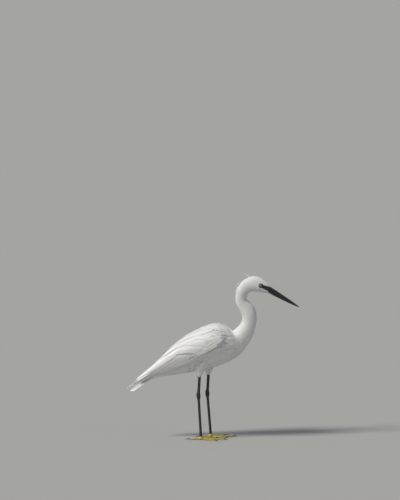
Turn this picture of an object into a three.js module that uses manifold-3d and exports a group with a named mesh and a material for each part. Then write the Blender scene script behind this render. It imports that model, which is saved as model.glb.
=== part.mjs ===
// Little egret, life size, standing with its neck in an S and its bill pointing down and forward.
// Millimetres. +Z is up, +X is the way the bird faces, +Y is its left side, and the floor is z = 0.
// The origin is on the floor, under the middle of the whole bird.

import * as THREE from "three";
import Module from "manifold-3d";
import { mergeVertices } from "three/addons/utils/BufferGeometryUtils.js";

const wasm = await Module();
wasm.setup();

// Parts that touch keep this gap.
const GAP = 0.3;
const PI = Math.PI;
const SIDES = { left: 1, right: -1 };

// Head and neck: one row of sections from the root of the bill back over the head and down the neck.
// x and z are the middle line. The rest are reaches from it: to each side, to the back and to the throat.
const NECK_SECTIONS = [
  { x: 126.2, z: 349.7, side: 6.4, back: 8.6, throat: 8.4 },
  { x: 119.5, z: 353.4, side: 8.4, back: 11.6, throat: 12.0 },
  { x: 111.5, z: 357.6, side: 10.9, back: 14.3, throat: 15.0 },
  { x: 101.5, z: 361.9, side: 13.0, back: 17.4, throat: 17.0 },
  { x: 91.0, z: 364.3, side: 14.0, back: 20.2, throat: 17.4 },
  { x: 81.0, z: 363.0, side: 14.0, back: 18.8, throat: 17.0 },
  { x: 71.0, z: 356.8, side: 13.2, back: 17.4, throat: 15.2 },
  { x: 62.6, z: 345.6, side: 12.0, back: 15.5, throat: 13.3 },
  { x: 58.6, z: 332.5, side: 11.4, back: 13.9, throat: 13.4 },
  { x: 60.2, z: 321.5, side: 11.6, back: 14.3, throat: 14.4 },
  { x: 66.6, z: 312.0, side: 12.4, back: 15.3, throat: 16.6 },
  { x: 73.4, z: 302.0, side: 13.2, back: 15.6, throat: 19.0 },
  { x: 77.8, z: 291.0, side: 13.8, back: 17.0, throat: 18.7 },
  { x: 78.3, z: 279.5, side: 14.2, back: 17.7, throat: 17.7 },
  { x: 75.0, z: 267.5, side: 15.4, back: 18.4, throat: 18.6 },
  { x: 69.2, z: 256.0, side: 18.0, back: 19.4, throat: 21.6 },
  { x: 60.0, z: 244.5, side: 22.0, back: 21.0, throat: 25.6 },
  { x: 47.0, z: 233.0, side: 27.0, back: 21.5, throat: 29.5 },
  { x: 33.0, z: 222.0, side: 30.0, back: 19.0, throat: 30.0 },
];
// Where the head and the three lengths of the neck part, as shares of that row.
const NECK_CUTS = { head: 0, neck_upper: 5.9, neck_middle: 9.3, neck_lower: 13.2, end: 18 };
const NECK_ROUNDNESS = 2.15;

// The body's own axis runs back and down from this point, at this slope.
const BODY_MIDDLE = { x: 5, z: 222 };
const BODY_SLOPE = THREE.MathUtils.degToRad(26);

// Trunk sections across that axis: top, bottom, the height where it is widest, and how far it reaches to each side.
const TRUNK_SECTIONS = [
  { along: -61, top: -13, bottom: -28, level: -21, side: 7 },
  { along: -55, top: -3, bottom: -35, level: -17, side: 18 },
  { along: -46, top: 12, bottom: -40, level: -10, side: 28 },
  { along: -34, top: 36, bottom: -44.5, level: 0, side: 36 },
  { along: -20, top: 47.5, bottom: -47, level: 6, side: 40.5 },
  { along: 0, top: 53, bottom: -47.5, level: 10, side: 43 },
  { along: 30, top: 54.5, bottom: -44.5, level: 12, side: 42 },
  { along: 60, top: 52.5, bottom: -38, level: 12, side: 38 },
  { along: 90, top: 46.5, bottom: -29.5, level: 11, side: 31.5 },
  { along: 120, top: 37.5, bottom: -20, level: 10, side: 23.5 },
  { along: 150, top: 26.5, bottom: -10.5, level: 8, side: 15.5 },
  { along: 168, top: 19, bottom: -4, level: 7, side: 10.5 },
];
const TRUNK_ROUNDNESS = 2.2;

// The outside of the folded wings, in the same terms, out to their tips.
const FOLDED_SECTIONS = [
  { along: -34, top: 34, bottom: -44.5, level: 4, side: 37 },
  { along: -20, top: 46, bottom: -47, level: 10, side: 47 },
  { along: 0, top: 52.5, bottom: -47.5, level: 14, side: 52 },
  { along: 30, top: 54.5, bottom: -46, level: 16, side: 52.5 },
  { along: 60, top: 53, bottom: -42, level: 16, side: 49 },
  { along: 90, top: 47.5, bottom: -36, level: 15, side: 43 },
  { along: 120, top: 39, bottom: -29, level: 14, side: 36 },
  { along: 150, top: 29.5, bottom: -22, level: 11, side: 29 },
  { along: 180, top: 20.5, bottom: -16, level: 8, side: 22.5 },
  { along: 210, top: 12.5, bottom: -12, level: 5, side: 16.5 },
  { along: 245, top: 5, bottom: -8, level: 1, side: 10 },
];
// The part of that outside which a wing covers, from its bend back to its tip: its lower and upper edges, as angles
// up from the widest line of each section.
const WING_EDGES = [
  { along: -29, low: 16, high: 30 },
  { along: -22, low: 1, high: 46 },
  { along: -8, low: -8, high: 53 },
  { along: 20, low: -11, high: 56 },
  { along: 60, low: -13, high: 54 },
  { along: 100, low: -15, high: 50 },
  { along: 140, low: -16, high: 44 },
  { along: 175, low: -17, high: 36 },
];
const WING_CORE = { end: 150, sunk: 1.2, sunkBehind: 3.6, depth: 14, thinEnd: 2.5 };
// Rows of wing feathers, lowest row first. Each runs from one root and tip to another: [along, angle], and lift is its
// height over the wing's outside at the root and at the tip, which grows by step from each feather to the one above it.
// Each feather's lower edge rides over the one below it.
const WING_ROWS = {
  primaries: {
    roots: [[108, -6], [120, 20]],
    tips: [[236, 2], [211, 16]],
    count: 4, width: 9, lift: [-5, -3.6], step: 0.9,
  },
  secondaries: {
    roots: [[34, -3], [92, 30]],
    tips: [[150, -13], [210, 20]],
    count: 5, width: 12, lift: [-3.9, -1.4], step: 0.3,
  },
  tertials: {
    roots: [[64, 32], [82, 48]],
    tips: [[178, 22], [208, 46]],
    count: 3, width: 15, lift: [-3.2, 0.8], step: 0.2,
  },
  greaterCoverts: {
    roots: [[2, 1], [66, 40]],
    tips: [[52, -8], [118, 32]],
    count: 6, width: 13, lift: [-2.8, 0.7], step: 0,
  },
  medianCoverts: {
    roots: [[-16, 3], [40, 45]],
    tips: [[22, -6], [78, 41]],
    count: 6, width: 12.5, lift: [-2.6, 1.7], step: 0,
  },
  scapulars: {
    roots: [[-10, 52], [34, 66]],
    tips: [[62, 52], [122, 60]],
    count: 4, width: 14, lift: [-2.6, 2], step: 0.2,
  },
};
const VANE = { thickness: 0.75, tipThickness: 0.5, roll: 0.19, tipNarrowing: 0.25 };

// Tail: a short core on the end of the trunk, and feathers that lie side by side in it, the middle pair on top.
const TAIL = { root: 158, coreEnd: 186, rootHeight: 5.5, tipHeight: -6.5, halfWidth: 8.5, spread: 13.5, pairs: 5 };
const TAIL_FEATHER = { tip: 233, shorterOutside: 5, width: 9.5, stepDown: 0.95 };

// A few longer, pointed feathers on the nape, as shares of the neck's row of sections, in degrees round it.
const NAPE_FEATHERS = { count: 5, root: 6.1, tips: [7.0, 7.5], spread: 26, width: 3, lift: [-1.2, 3.2] };

// Eye and bill lie in the head's own frame: forward along the bill, up across it, from the middle of the eye.
const EYE = { x: 104.8, z: 361.5, aside: 9.7, radius: 4.7 };
const LIDS = { radius: 4.4, thickness: 0.95, proud: 0 };
const GAPE = { end: 3, endHeight: -5.2, height: 0.6, depth: 1.1 };
const HEAD_SLOPE = THREE.MathUtils.degToRad(29);
const BILL_SECTIONS = [
  { forward: 15, top: 8.6, mouth: -2.4, bottom: -7.4, side: 6.0 },
  { forward: 24, top: 8.4, mouth: -2.3, bottom: -7.2, side: 5.7 },
  { forward: 34, top: 7.4, mouth: -2.0, bottom: -6.9, side: 5.2 },
  { forward: 48, top: 6.2, mouth: -1.5, bottom: -6.2, side: 4.3 },
  { forward: 64, top: 4.9, mouth: -1.2, bottom: -5.3, side: 3.4 },
  { forward: 80, top: 3.3, mouth: -1.0, bottom: -4.3, side: 2.5 },
  { forward: 93, top: 1.7, mouth: -1.0, bottom: -3.3, side: 1.6 },
  { forward: 101, top: 0.5, mouth: -1.0, bottom: -2.3, side: 0.9 },
  { forward: 104.9, top: -0.5, mouth: -1.0, bottom: -1.5, side: 0.35 },
];
const LOWER_BILL_SHORTER = 1.2;
const NOSTRIL = { forward: 33, up: 3.4, length: 6.5, height: 1.3, depth: 2.2 };

// Legs. x is where each stands, y is its distance from the middle.
const STANCE = { left: { x: -12, hockX: -20 }, right: { x: -35, hockX: -41 } };
const FOOT_ASIDE = 23;
const HOCK = { height: 104, aside: 22, radius: 4.9 };
const THIGH_SECTIONS = [
  { height: 214, drift: 13, aside: 20, front: 24, side: 15 },
  { height: 196, drift: 10, aside: 21.5, front: 23, side: 16.5 },
  { height: 180, drift: 7, aside: 22, front: 18, side: 14.5 },
  { height: 166, drift: 4, aside: 22, front: 12, side: 10.5 },
  { height: 155, drift: 2, aside: 22, front: 7.5, side: 7 },
  { height: 148, drift: 1.4, aside: 22, front: 4.6, side: 4.4 },
];
const SHANK = { top: 158, front: 3.5, side: 3.1 };
const TARSUS = { front: 3.1, side: 2.6, ankleFlare: 1.3 };
const FOOT_PAD = [
  { radius: 5.2, height: 0 },
  { radius: 6.3, height: 1.6 },
  { radius: 6.2, height: 4.2 },
  { radius: 5.0, height: 6.8 },
  { radius: 3.6, height: 8.2 },
];
// Each toe: its turn from straight ahead, towards the outside of the foot, its length, its joints and its claw.
const TOES = {
  inner: { turn: -33, length: 39, joints: 3, radius: 2.7, claw: 9.5 },
  middle: { turn: -2, length: 54, joints: 4, radius: 2.9, claw: 10.5 },
  outer: { turn: 31, length: 44, joints: 5, radius: 2.6, claw: 9 },
  hind: { turn: 172, length: 26, joints: 2, radius: 2.6, claw: 12.5 },
};
const TOE_TIP_SHARE = 0.62;
const FOOT_TURN_OUT = 7;

const SKINS = {
  feathers: new THREE.MeshStandardMaterial({ color: 0xe9e8e3, roughness: 0.85, metalness: 0 }),
  bill: new THREE.MeshStandardMaterial({ color: 0x1d1e21, roughness: 0.4, metalness: 0 }),
  iris: new THREE.MeshStandardMaterial({ color: 0xd8b64a, roughness: 0.12, metalness: 0 }),
  leg: new THREE.MeshStandardMaterial({ color: 0x1b1b1a, roughness: 0.5, metalness: 0 }),
  toe: new THREE.MeshStandardMaterial({ color: 0xb9a83a, roughness: 0.55, metalness: 0 }),
  claw: new THREE.MeshStandardMaterial({ color: 0x221f1c, roughness: 0.4, metalness: 0 }),
};

// A smooth reading of a table of sections: at(position) gives the columns that lie between its rows.
function reader(rows, columns, positions) {
  const values = rows.flatMap((row) => columns.map((column) => row[column]));
  const curve = new THREE.CubicInterpolant(positions, values, columns.length);
  return (position) => {
    const found = curve.evaluate(position);
    return Object.fromEntries(columns.map((column, i) => [column, found[i]]));
  };
}

// A rounded section: the cosine or sine of an angle, swollen towards a rectangle as roundness passes 2.
const swell = (value, roundness) => Math.sign(value) * Math.abs(value) ** (2 / roundness);

// A closed surface made from a cylinder: place(angle, share, reach) gives the point at an angle round it and a share
// of its length, and reach is 0 in the middle of an end and 1 on the wall.
function bentCylinder(sides, rows, place) {
  const geometry = new THREE.CylinderGeometry(1, 1, 1, sides, rows);
  const position = geometry.getAttribute("position");
  for (let i = 0; i < position.count; i++) {
    const reach = Math.round(Math.hypot(position.getX(i), position.getZ(i)));
    const step = Math.round((Math.atan2(position.getX(i), position.getZ(i)) / (2 * PI)) * sides);
    const angle = (((step + sides) % sides) / sides) * 2 * PI;
    const share = Math.round((0.5 - position.getY(i)) * rows) / rows;
    position.setXYZ(i, ...place(angle, share, reach).toArray());
  }
  return solid(geometry);
}

// A closed surface made from a box: place(u, v, w) gives the point at three shares from 0 to 1. The faces at w = 0 and
// w = 1 are split into triangles alike, so that a thin curved box never crosses itself.
function bentBox(uSteps, vSteps, wSteps, place) {
  const geometry = new THREE.BoxGeometry(1, 1, 1, uSteps, vSteps, wSteps);
  const { start, count } = geometry.groups[5];
  for (let i = start; i < start + count; i += 6) {
    const [a, b, d, , c] = geometry.index.array.slice(i, i + 5);
    geometry.index.array.set([a, b, c, a, c, d], i);
  }
  const position = geometry.getAttribute("position");
  const share = (value, steps) => Math.round((value + 0.5) * steps) / steps;
  for (let i = 0; i < position.count; i++) {
    const u = share(position.getX(i), uSteps);
    const v = share(position.getY(i), vSteps);
    const w = share(position.getZ(i), wSteps);
    position.setXYZ(i, ...place(u, v, w).toArray());
  }
  return solid(geometry);
}

// A three.js geometry as a solid with its faces pointing out.
function solid(geometry) {
  const bare = geometry.clone();
  bare.deleteAttribute("normal");
  bare.deleteAttribute("uv");
  const merged = mergeVertices(bare, 1e-4);
  const vertProperties = new Float32Array(merged.attributes.position.array);
  const triVerts = new Uint32Array(merged.index.array);
  const made = new wasm.Manifold(new wasm.Mesh({ numProp: 3, vertProperties, triVerts }));
  if (made.volume() > 0) return made;
  for (let i = 0; i < triVerts.length; i += 3) triVerts.subarray(i, i + 2).reverse();
  return new wasm.Manifold(new wasm.Mesh({ numProp: 3, vertProperties, triVerts }));
}

// The largest closed surface of a solid, as a named mesh.
function meshOf(name, material, made) {
  const pieces = made.decompose();
  const largest = pieces.reduce((a, b) => (a.volume() > b.volume() ? a : b));
  const { numProp, vertProperties, triVerts } = largest.getMesh();
  const points = new Float32Array((vertProperties.length / numProp) * 3);
  for (let i = 0; i * numProp < vertProperties.length; i++) {
    points.set(vertProperties.subarray(i * numProp, i * numProp + 3), i * 3);
  }
  const geometry = new THREE.BufferGeometry()
    .setAttribute("position", new THREE.BufferAttribute(points, 3))
    .setIndex(new THREE.BufferAttribute(new Uint32Array(triVerts), 1));
  geometry.computeVertexNormals();
  const mesh = new THREE.Mesh(geometry, material);
  mesh.name = name;
  return mesh;
}

// Head and neck.
const neckPositions = NECK_SECTIONS.map((_, i) => i);
const neckAt = reader(NECK_SECTIONS, ["x", "z", "side", "back", "throat"], neckPositions);

// The middle of the head or neck at a share of its row, and the direction out through its back.
function neckFrame(at) {
  const here = neckAt(at);
  const before = neckAt(Math.max(at - 0.2, 0));
  const after = neckAt(Math.min(at + 0.2, NECK_CUTS.end));
  const run = new THREE.Vector2(after.x - before.x, after.z - before.z).normalize();
  return { ...here, middle: new THREE.Vector3(here.x, 0, here.z), out: new THREE.Vector3(run.y, 0, -run.x) };
}

// A point round the neck: angle 0 is its left side and 90 degrees its back, and lift is added to its reach.
function neckPoint(at, angle, reach, lift) {
  const { middle, out, side, back, throat } = neckFrame(at);
  const across = reach * swell(Math.cos(angle), NECK_ROUNDNESS) * (side + lift);
  const high = reach * swell(Math.sin(angle), NECK_ROUNDNESS);
  return middle.addScaledVector(out, high * ((high > 0 ? back : throat) + lift)).setY(across);
}

function neckLength(from, to, rows, grow = 0) {
  return bentCylinder(18, rows, (angle, share, reach) => neckPoint(from + (to - from) * share, angle, reach, grow));
}

// One pointed feather on the nape, lying down the back of the neck: its place runs from -1 to 1 across it.
function napeFeather(place) {
  const { root, tips, spread, width, lift } = NAPE_FEATHERS;
  const tip = lerp(tips[1], tips[0], Math.abs(place));
  return bentBox(3, 1, 1, (u, v, w) => {
    const half = THREE.MathUtils.degToRad(((v - 0.5) * width * (1 - 0.75 * u) * 180) / PI / 14);
    const angle = PI / 2 + place * THREE.MathUtils.degToRad(spread) * (1 - 0.4 * u) + half;
    const height = lerp(lift[0], lift[1] * (1 - 0.4 * Math.abs(place)), u) + (w - 0.5) * 0.7;
    return neckPoint(lerp(root, tip, u), angle, 1, height);
  });
}

// Half of the gap between two lengths of the neck, as a share of one section.
const NECK_HALF_GAP = 0.014;

// A point in the body's frame: so far back along the axis, so high across it, and so far to the left.
function bodyPoint(along, high, left) {
  const [c, s] = [Math.cos(BODY_SLOPE), Math.sin(BODY_SLOPE)];
  return new THREE.Vector3(BODY_MIDDLE.x - along * c - high * s, left, BODY_MIDDLE.z - along * s + high * c);
}

const formColumns = ["top", "bottom", "level", "side"];
const alongs = (rows) => rows.map((row) => row.along);
const trunkAt = reader(TRUNK_SECTIONS, formColumns, alongs(TRUNK_SECTIONS));
const foldedAt = reader(FOLDED_SECTIONS, formColumns, alongs(FOLDED_SECTIONS));
const edgesAt = reader(WING_EDGES, ["low", "high"], alongs(WING_EDGES));

function trunk(grow = 0) {
  const first = TRUNK_SECTIONS[0].along - grow;
  const last = TRUNK_SECTIONS.at(-1).along + grow;
  return bentCylinder(24, 18, (angle, share, reach) => {
    const along = first + (last - first) * share;
    const { top, bottom, level, side } = trunkAt(along);
    const left = reach * swell(Math.cos(angle), TRUNK_ROUNDNESS) * (side + grow);
    const up = reach * swell(Math.sin(angle), TRUNK_ROUNDNESS);
    const centre = reach ? level : (top + bottom) / 2;
    return bodyPoint(along, centre + up * (up > 0 ? top - level + grow : level - bottom + grow), left);
  });
}

const lerp = THREE.MathUtils.lerp;

// A point on the outside of a folded wing, at an angle up from its widest line, lifted off it by a distance.
function wingPoint(handed, along, angle, lift) {
  const { top, bottom, level, side } = foldedAt(along);
  const turn = THREE.MathUtils.degToRad(angle);
  const up = turn > 0 ? top - level : level - bottom;
  const out = new THREE.Vector2(Math.cos(turn) * up, Math.sin(turn) * side).normalize().multiplyScalar(lift);
  const left = side * swell(Math.cos(turn), TRUNK_ROUNDNESS) + out.x;
  const high = level + up * swell(Math.sin(turn), TRUNK_ROUNDNESS) + out.y;
  return bodyPoint(along, high, handed * left);
}

// How wide a vane is at a share of its length: narrow at the root, and rounded at the tip.
function vaneWidth(run) {
  return Math.min(0.6 + 1.3 * run, 1) * Math.sqrt(Math.max(1 - run ** 6, VANE.tipNarrowing ** 2));
}

// One wing feather from its root to its tip.
function wingFeather(handed, root, tip, width, lift) {
  return bentBox(4, 1, 1, (u, v, w) => {
    const run = 1 - (1 - u) ** 1.4;
    const along = lerp(root[0], tip[0], run);
    const { top, level, side } = foldedAt(along);
    const aside = (v - 0.5) * width * vaneWidth(run);
    const angle = lerp(root[1], tip[1], run) + THREE.MathUtils.radToDeg((aside * 2) / (side + top - level));
    const thickness = lerp(VANE.thickness, VANE.tipThickness, run);
    const height = lerp(lift[0], lift[1], run) - VANE.roll * aside + (w - 0.5) * thickness;
    return wingPoint(handed, along, angle, height);
  });
}

// The core of a folded wing lies on the trunk, a little under the feathers' outside.
function wingCore(handed, trunkClear) {
  const first = WING_EDGES[0].along;
  return bentBox(12, 5, 1, (u, v, w) => {
    const along = lerp(first, WING_CORE.end, u);
    const { low, high } = edgesAt(along);
    const sunk = lerp(WING_CORE.sunk, WING_CORE.sunkBehind, Math.min(u * 1.6, 1));
    const depth = lerp(WING_CORE.depth, WING_CORE.thinEnd + WING_CORE.sunkBehind, Math.max(u - 0.75, 0) * 4);
    return wingPoint(handed, along, lerp(low, high, v), w ? -sunk : -depth);
  }).subtract(trunkClear);
}

function wing(handed, trunkClear) {
  const feathers = Object.values(WING_ROWS).flatMap(({ count, roots, tips, width, lift, step }) =>
    Array.from({ length: count }, (_, i) => {
      const share = i / (count - 1);
      const root = roots[0].map((value, k) => lerp(value, roots[1][k], share));
      const tip = tips[0].map((value, k) => lerp(value, tips[1][k], share));
      return wingFeather(handed, root, tip, width, [lift[0] + step * i * 0.5, lift[1] + step * i]);
    }),
  );
  return feathers.reduce((made, feather) => made.add(feather), wingCore(handed, trunkClear)).subtract(trunkClear);
}

function tailHeight(along) {
  return lerp(TAIL.rootHeight, TAIL.tipHeight, (along - TAIL.root) / (TAIL_FEATHER.tip - TAIL.root));
}

// One tail feather: its place is 0 in the middle of the tail and -1 or 1 at its sides.
function tailFeather(place) {
  const outside = Math.abs(place);
  const tipAlong = TAIL_FEATHER.tip - TAIL_FEATHER.shorterOutside * outside ** 2;
  return bentBox(4, 1, 1, (u, v, w) => {
    const run = 1 - (1 - u) ** 1.4;
    const along = lerp(TAIL.root + 4, tipAlong, run);
    const aside = (v - 0.5) * TAIL_FEATHER.width * vaneWidth(run);
    const left = place * lerp(TAIL.halfWidth * 0.6, TAIL.spread, run) + aside;
    const thickness = lerp(VANE.thickness, VANE.tipThickness, run);
    const down = outside * TAIL.pairs * TAIL_FEATHER.stepDown * lerp(0.5, 1, run);
    const tilt = -VANE.roll * aside * Math.sign(place || 1) * 0.6;
    return bodyPoint(along, tailHeight(along) - down + tilt + (w - 0.5) * thickness, left);
  });
}

function tail(trunkClear) {
  const core = bentBox(3, 2, 1, (u, v, w) => {
    const along = lerp(TAIL.root, TAIL.coreEnd, u);
    const left = (v - 0.5) * 2 * TAIL.halfWidth;
    const sag = Math.abs(v - 0.5) * 2.4;
    return bodyPoint(along, tailHeight(along) - sag - 1.5 + (w - 0.5) * lerp(9, 4.5, u), left);
  });
  const places = Array.from({ length: TAIL.pairs * 2 }, (_, i) => (i - TAIL.pairs + 0.5) / (TAIL.pairs - 0.5));
  return places.reduce((made, place) => made.add(tailFeather(place)), core).subtract(trunkClear);
}

// A point in the head's frame.
function headPoint(forward, up, left) {
  const [c, s] = [Math.cos(HEAD_SLOPE), Math.sin(HEAD_SLOPE)];
  return new THREE.Vector3(EYE.x + forward * c + up * s, left, EYE.z - forward * s + up * c);
}

const billColumns = ["top", "mouth", "bottom", "side"];
const billPositions = BILL_SECTIONS.map((row) => row.forward);
const billAt = reader(BILL_SECTIONS, billColumns, billPositions);

// The upper bill rises from the line of the mouth, and the lower bill hangs from it.
function billHalf(upper) {
  const first = BILL_SECTIONS[0].forward;
  const last = BILL_SECTIONS.at(-1).forward - (upper ? 0 : LOWER_BILL_SHORTER);
  return bentCylinder(12, 9, (angle, share, reach) => {
    const forward = first + (last - first) * share ** 0.85;
    const { top, mouth, bottom, side } = billAt(forward);
    const edge = mouth + (upper ? GAP / 2 : -GAP / 2);
    const depth = upper ? Math.max(top - edge, 0.4) : Math.min(bottom - edge, -0.4);
    const bulge = Math.max(Math.sin(angle), 0) ** 0.9;
    const height = reach ? edge + depth * bulge : edge + depth * 0.4;
    return headPoint(forward, height, reach * Math.cos(angle) * side);
  });
}

function nostril(handed) {
  const shape = new THREE.SphereGeometry(0.5, 8, 6).scale(NOSTRIL.length, NOSTRIL.depth, NOSTRIL.height);
  shape.rotateY(HEAD_SLOPE);
  const { top, mouth, side } = billAt(NOSTRIL.forward);
  const across = side * Math.cos(Math.asin((NOSTRIL.up - mouth) / (top - mouth)));
  const at = headPoint(NOSTRIL.forward, NOSTRIL.up, handed * across);
  return solid(shape.translate(at.x, at.y, at.z));
}

function eyeBall(radius) {
  return solid(new THREE.SphereGeometry(radius, 12, 8).rotateX(PI / 2));
}

// How far the side of the head is from its middle at a point in the head's frame.
function headSide(forward, up) {
  const { x, z } = headPoint(forward, up, 0);
  const next = NECK_SECTIONS.findIndex((row) => row.x < x);
  const [before, after] = [NECK_SECTIONS[next - 1], NECK_SECTIONS[next]];
  const { middle, out, side, back, throat } = neckFrame(next - 1 + (before.x - x) / (before.x - after.x));
  const off = new THREE.Vector3(x, 0, z).sub(middle).dot(out);
  const reach = Math.min(Math.abs(off) / (off > 0 ? back : throat), 1);
  return side * (1 - reach ** NECK_ROUNDNESS) ** (1 / NECK_ROUNDNESS);
}

// The ring of the lids round one eye, laid on the side of the head.
function lids(handed) {
  const ring = new THREE.TorusGeometry(LIDS.radius, LIDS.thickness, 6, 14);
  const position = ring.getAttribute("position");
  for (let i = 0; i < position.count; i++) {
    const [forward, up, out] = [position.getX(i), position.getY(i), position.getZ(i)];
    position.setXYZ(i, ...headPoint(forward, up, handed * (headSide(forward, up) + LIDS.proud + out)).toArray());
  }
  return solid(ring);
}

// The groove of the mouth, from the bill back along the cheek to below the eye.
function gape(handed) {
  const first = BILL_SECTIONS[0];
  return bentBox(5, 1, 1, (u, v, w) => {
    const forward = lerp(first.forward + 7, GAPE.end, u);
    const up = lerp(first.mouth, GAPE.endHeight, u * u) + (v - 0.5) * GAPE.height;
    return headPoint(forward, up, handed * (headSide(forward, up) + (w ? 2 : -GAPE.depth)));
  });
}

// Legs.
const thighPositions = THIGH_SECTIONS.map((row) => -row.height);
const thighAt = reader(THIGH_SECTIONS, ["drift", "aside", "front", "side"], thighPositions);

function thigh(side) {
  const handed = SIDES[side];
  const { hockX } = STANCE[side];
  const top = THIGH_SECTIONS[0].height;
  const bottom = THIGH_SECTIONS.at(-1).height;
  return bentCylinder(14, 8, (angle, share, reach) => {
    const height = top + (bottom - top) * share;
    const { drift, aside, front, side: wide } = thighAt(-height);
    const x = hockX + drift + reach * Math.cos(angle) * front;
    return new THREE.Vector3(x, handed * (aside + reach * Math.sin(angle) * wide), height);
  });
}

// A straight limb bone in its skin: from one end to the other, with its thickness at each share of its length.
function limb(from, to, sides, rows, thickness) {
  return bentCylinder(sides, rows, (angle, share, reach) => {
    const { front, side } = thickness(share);
    const point = from.clone().lerp(to, share);
    point.x += reach * Math.cos(angle) * front;
    point.y += reach * Math.sin(angle) * side;
    return point;
  });
}

function hockOf(side) {
  return new THREE.Vector3(STANCE[side].hockX, SIDES[side] * HOCK.aside, HOCK.height);
}

function hockJoint(side, grow = 0) {
  const at = hockOf(side);
  const ball = new THREE.SphereGeometry(HOCK.radius + grow, 8, 6);
  return solid(ball.scale(1, 0.8, 1.25).translate(at.x, at.y, at.z));
}

function shank(side, thighClear) {
  const top = hockOf(side);
  top.x += 3;
  top.z = SHANK.top;
  const bone = limb(top, hockOf(side), 10, 5, () => SHANK);
  return bone.subtract(hockJoint(side, GAP)).subtract(thighClear);
}

function footPad(grow = 0) {
  const outline = FOOT_PAD.map(({ radius, height }) => new THREE.Vector2(radius + grow, height));
  const low = new THREE.Vector2(0, 0);
  const high = new THREE.Vector2(0, FOOT_PAD.at(-1).height + grow);
  outline.push(new THREE.Vector2(FOOT_PAD.at(-1).radius + grow, high.y));
  return solid(new THREE.LatheGeometry([low, ...outline, high], 16).rotateX(PI / 2));
}

function tarsus(side) {
  const handed = SIDES[side];
  const foot = new THREE.Vector3(STANCE[side].x, handed * FOOT_ASIDE, 5);
  const bone = limb(hockOf(side), foot, 10, 8, (share) => {
    const flare = 1 + 0.45 * Math.max(0, 1 - share * 9) + TARSUS.ankleFlare * 0.2 * Math.max(0, share * 9 - 8);
    return { front: TARSUS.front * flare, side: TARSUS.side * flare };
  });
  const pad = footPad(GAP).translate([foot.x, foot.y, 0]);
  return bone.add(hockJoint(side)).subtract(pad);
}

// A toe lies along +X from the middle of the foot, with a pad under each joint flattened on the floor.
function toe(handed, { turn, length, joints, radius }) {
  const start = 3;
  const made = bentCylinder(7, joints * 2, (angle, share, reach) => {
    const x = start + (length - start) * share;
    const pads = 1 + 0.13 * Math.cos(share * joints * 2 * PI);
    const size = radius * (1 - (1 - TOE_TIP_SHARE) * share) * pads;
    const lift = size * 0.86;
    return new THREE.Vector3(x, reach * Math.cos(angle) * size, lift + reach * Math.sin(angle) * size);
  });
  const clear = made.trimByPlane([0, 0, 1], 0).subtract(footPad(GAP));
  // The toe beside it has the other half of the room between them.
  return Object.values(TOES).reduce((left, other) => {
    const half = handed * THREE.MathUtils.degToRad((other.turn - turn) / 2);
    if (half === 0 || Math.abs(half) > PI / 4) return left;
    const away = -Math.sign(half);
    return left.trimByPlane([-away * Math.sin(half), away * Math.cos(half), 0], GAP / 2);
  }, clear);
}

// A claw goes on from the end of its toe, and curves down to the floor.
function claw({ length, radius, claw: reachOut }) {
  const root = radius * TOE_TIP_SHARE;
  return bentCylinder(7, 5, (angle, share, reach) => {
    const size = root * 0.72 * (1 - share) ** 0.8 + 0.18;
    const drop = root * 1.25 + 0.5 * Math.sin(share * PI * 0.8) - (root * 1.25 - 0.3) * share ** 1.8;
    const x = length + GAP + reachOut * share;
    return new THREE.Vector3(x, reach * Math.cos(angle) * size * 0.7, drop + reach * Math.sin(angle) * size);
  }).trimByPlane([0, 0, 1], 0.05);
}

// Everything together.
const egret = new THREE.Group();
egret.name = "little_egret";
const bird = new THREE.Group();
egret.add(bird);

const trunkClear = trunk(GAP);
bird.add(meshOf("torso", SKINS.feathers, trunk()));

const eyes = Object.values(SIDES).map((handed) =>
  eyeBall(EYE.radius + GAP).translate([EYE.x, handed * EYE.aside, EYE.z]),
);
let head = neckLength(NECK_CUTS.head, NECK_CUTS.neck_upper - NECK_HALF_GAP, 12);
for (const handed of Object.values(SIDES)) head = head.add(lids(handed)).subtract(gape(handed));
bird.add(meshOf("head", SKINS.feathers, eyes.reduce((made, eye) => made.subtract(eye), head)));

const lengths = [
  ["neck_upper", NECK_CUTS.neck_upper, NECK_CUTS.neck_middle, 7],
  ["neck_middle", NECK_CUTS.neck_middle, NECK_CUTS.neck_lower, 7],
];
const napePlaces = Array.from({ length: NAPE_FEATHERS.count }, (_, i) => (2 * i) / (NAPE_FEATHERS.count - 1) - 1);
for (const [name, from, to, rows] of lengths) {
  let made = neckLength(from + NECK_HALF_GAP, to - NECK_HALF_GAP, rows);
  if (name === "neck_upper") made = napePlaces.reduce((neck, place) => neck.add(napeFeather(place)), made);
  bird.add(meshOf(name, SKINS.feathers, made));
}
const neckBase = neckLength(NECK_CUTS.neck_lower + NECK_HALF_GAP, NECK_CUTS.end, 10).subtract(trunkClear);
bird.add(meshOf("neck_lower", SKINS.feathers, neckBase));

const headClear = neckLength(NECK_CUTS.head, NECK_CUTS.neck_upper, 12, GAP);
let upperBill = billHalf(true).subtract(headClear);
for (const handed of Object.values(SIDES)) upperBill = upperBill.subtract(nostril(handed));
bird.add(meshOf("bill_upper", SKINS.bill, upperBill));
bird.add(meshOf("bill_lower", SKINS.bill, billHalf(false).subtract(headClear)));

bird.add(meshOf("tail", SKINS.feathers, tail(trunkClear)));

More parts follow.
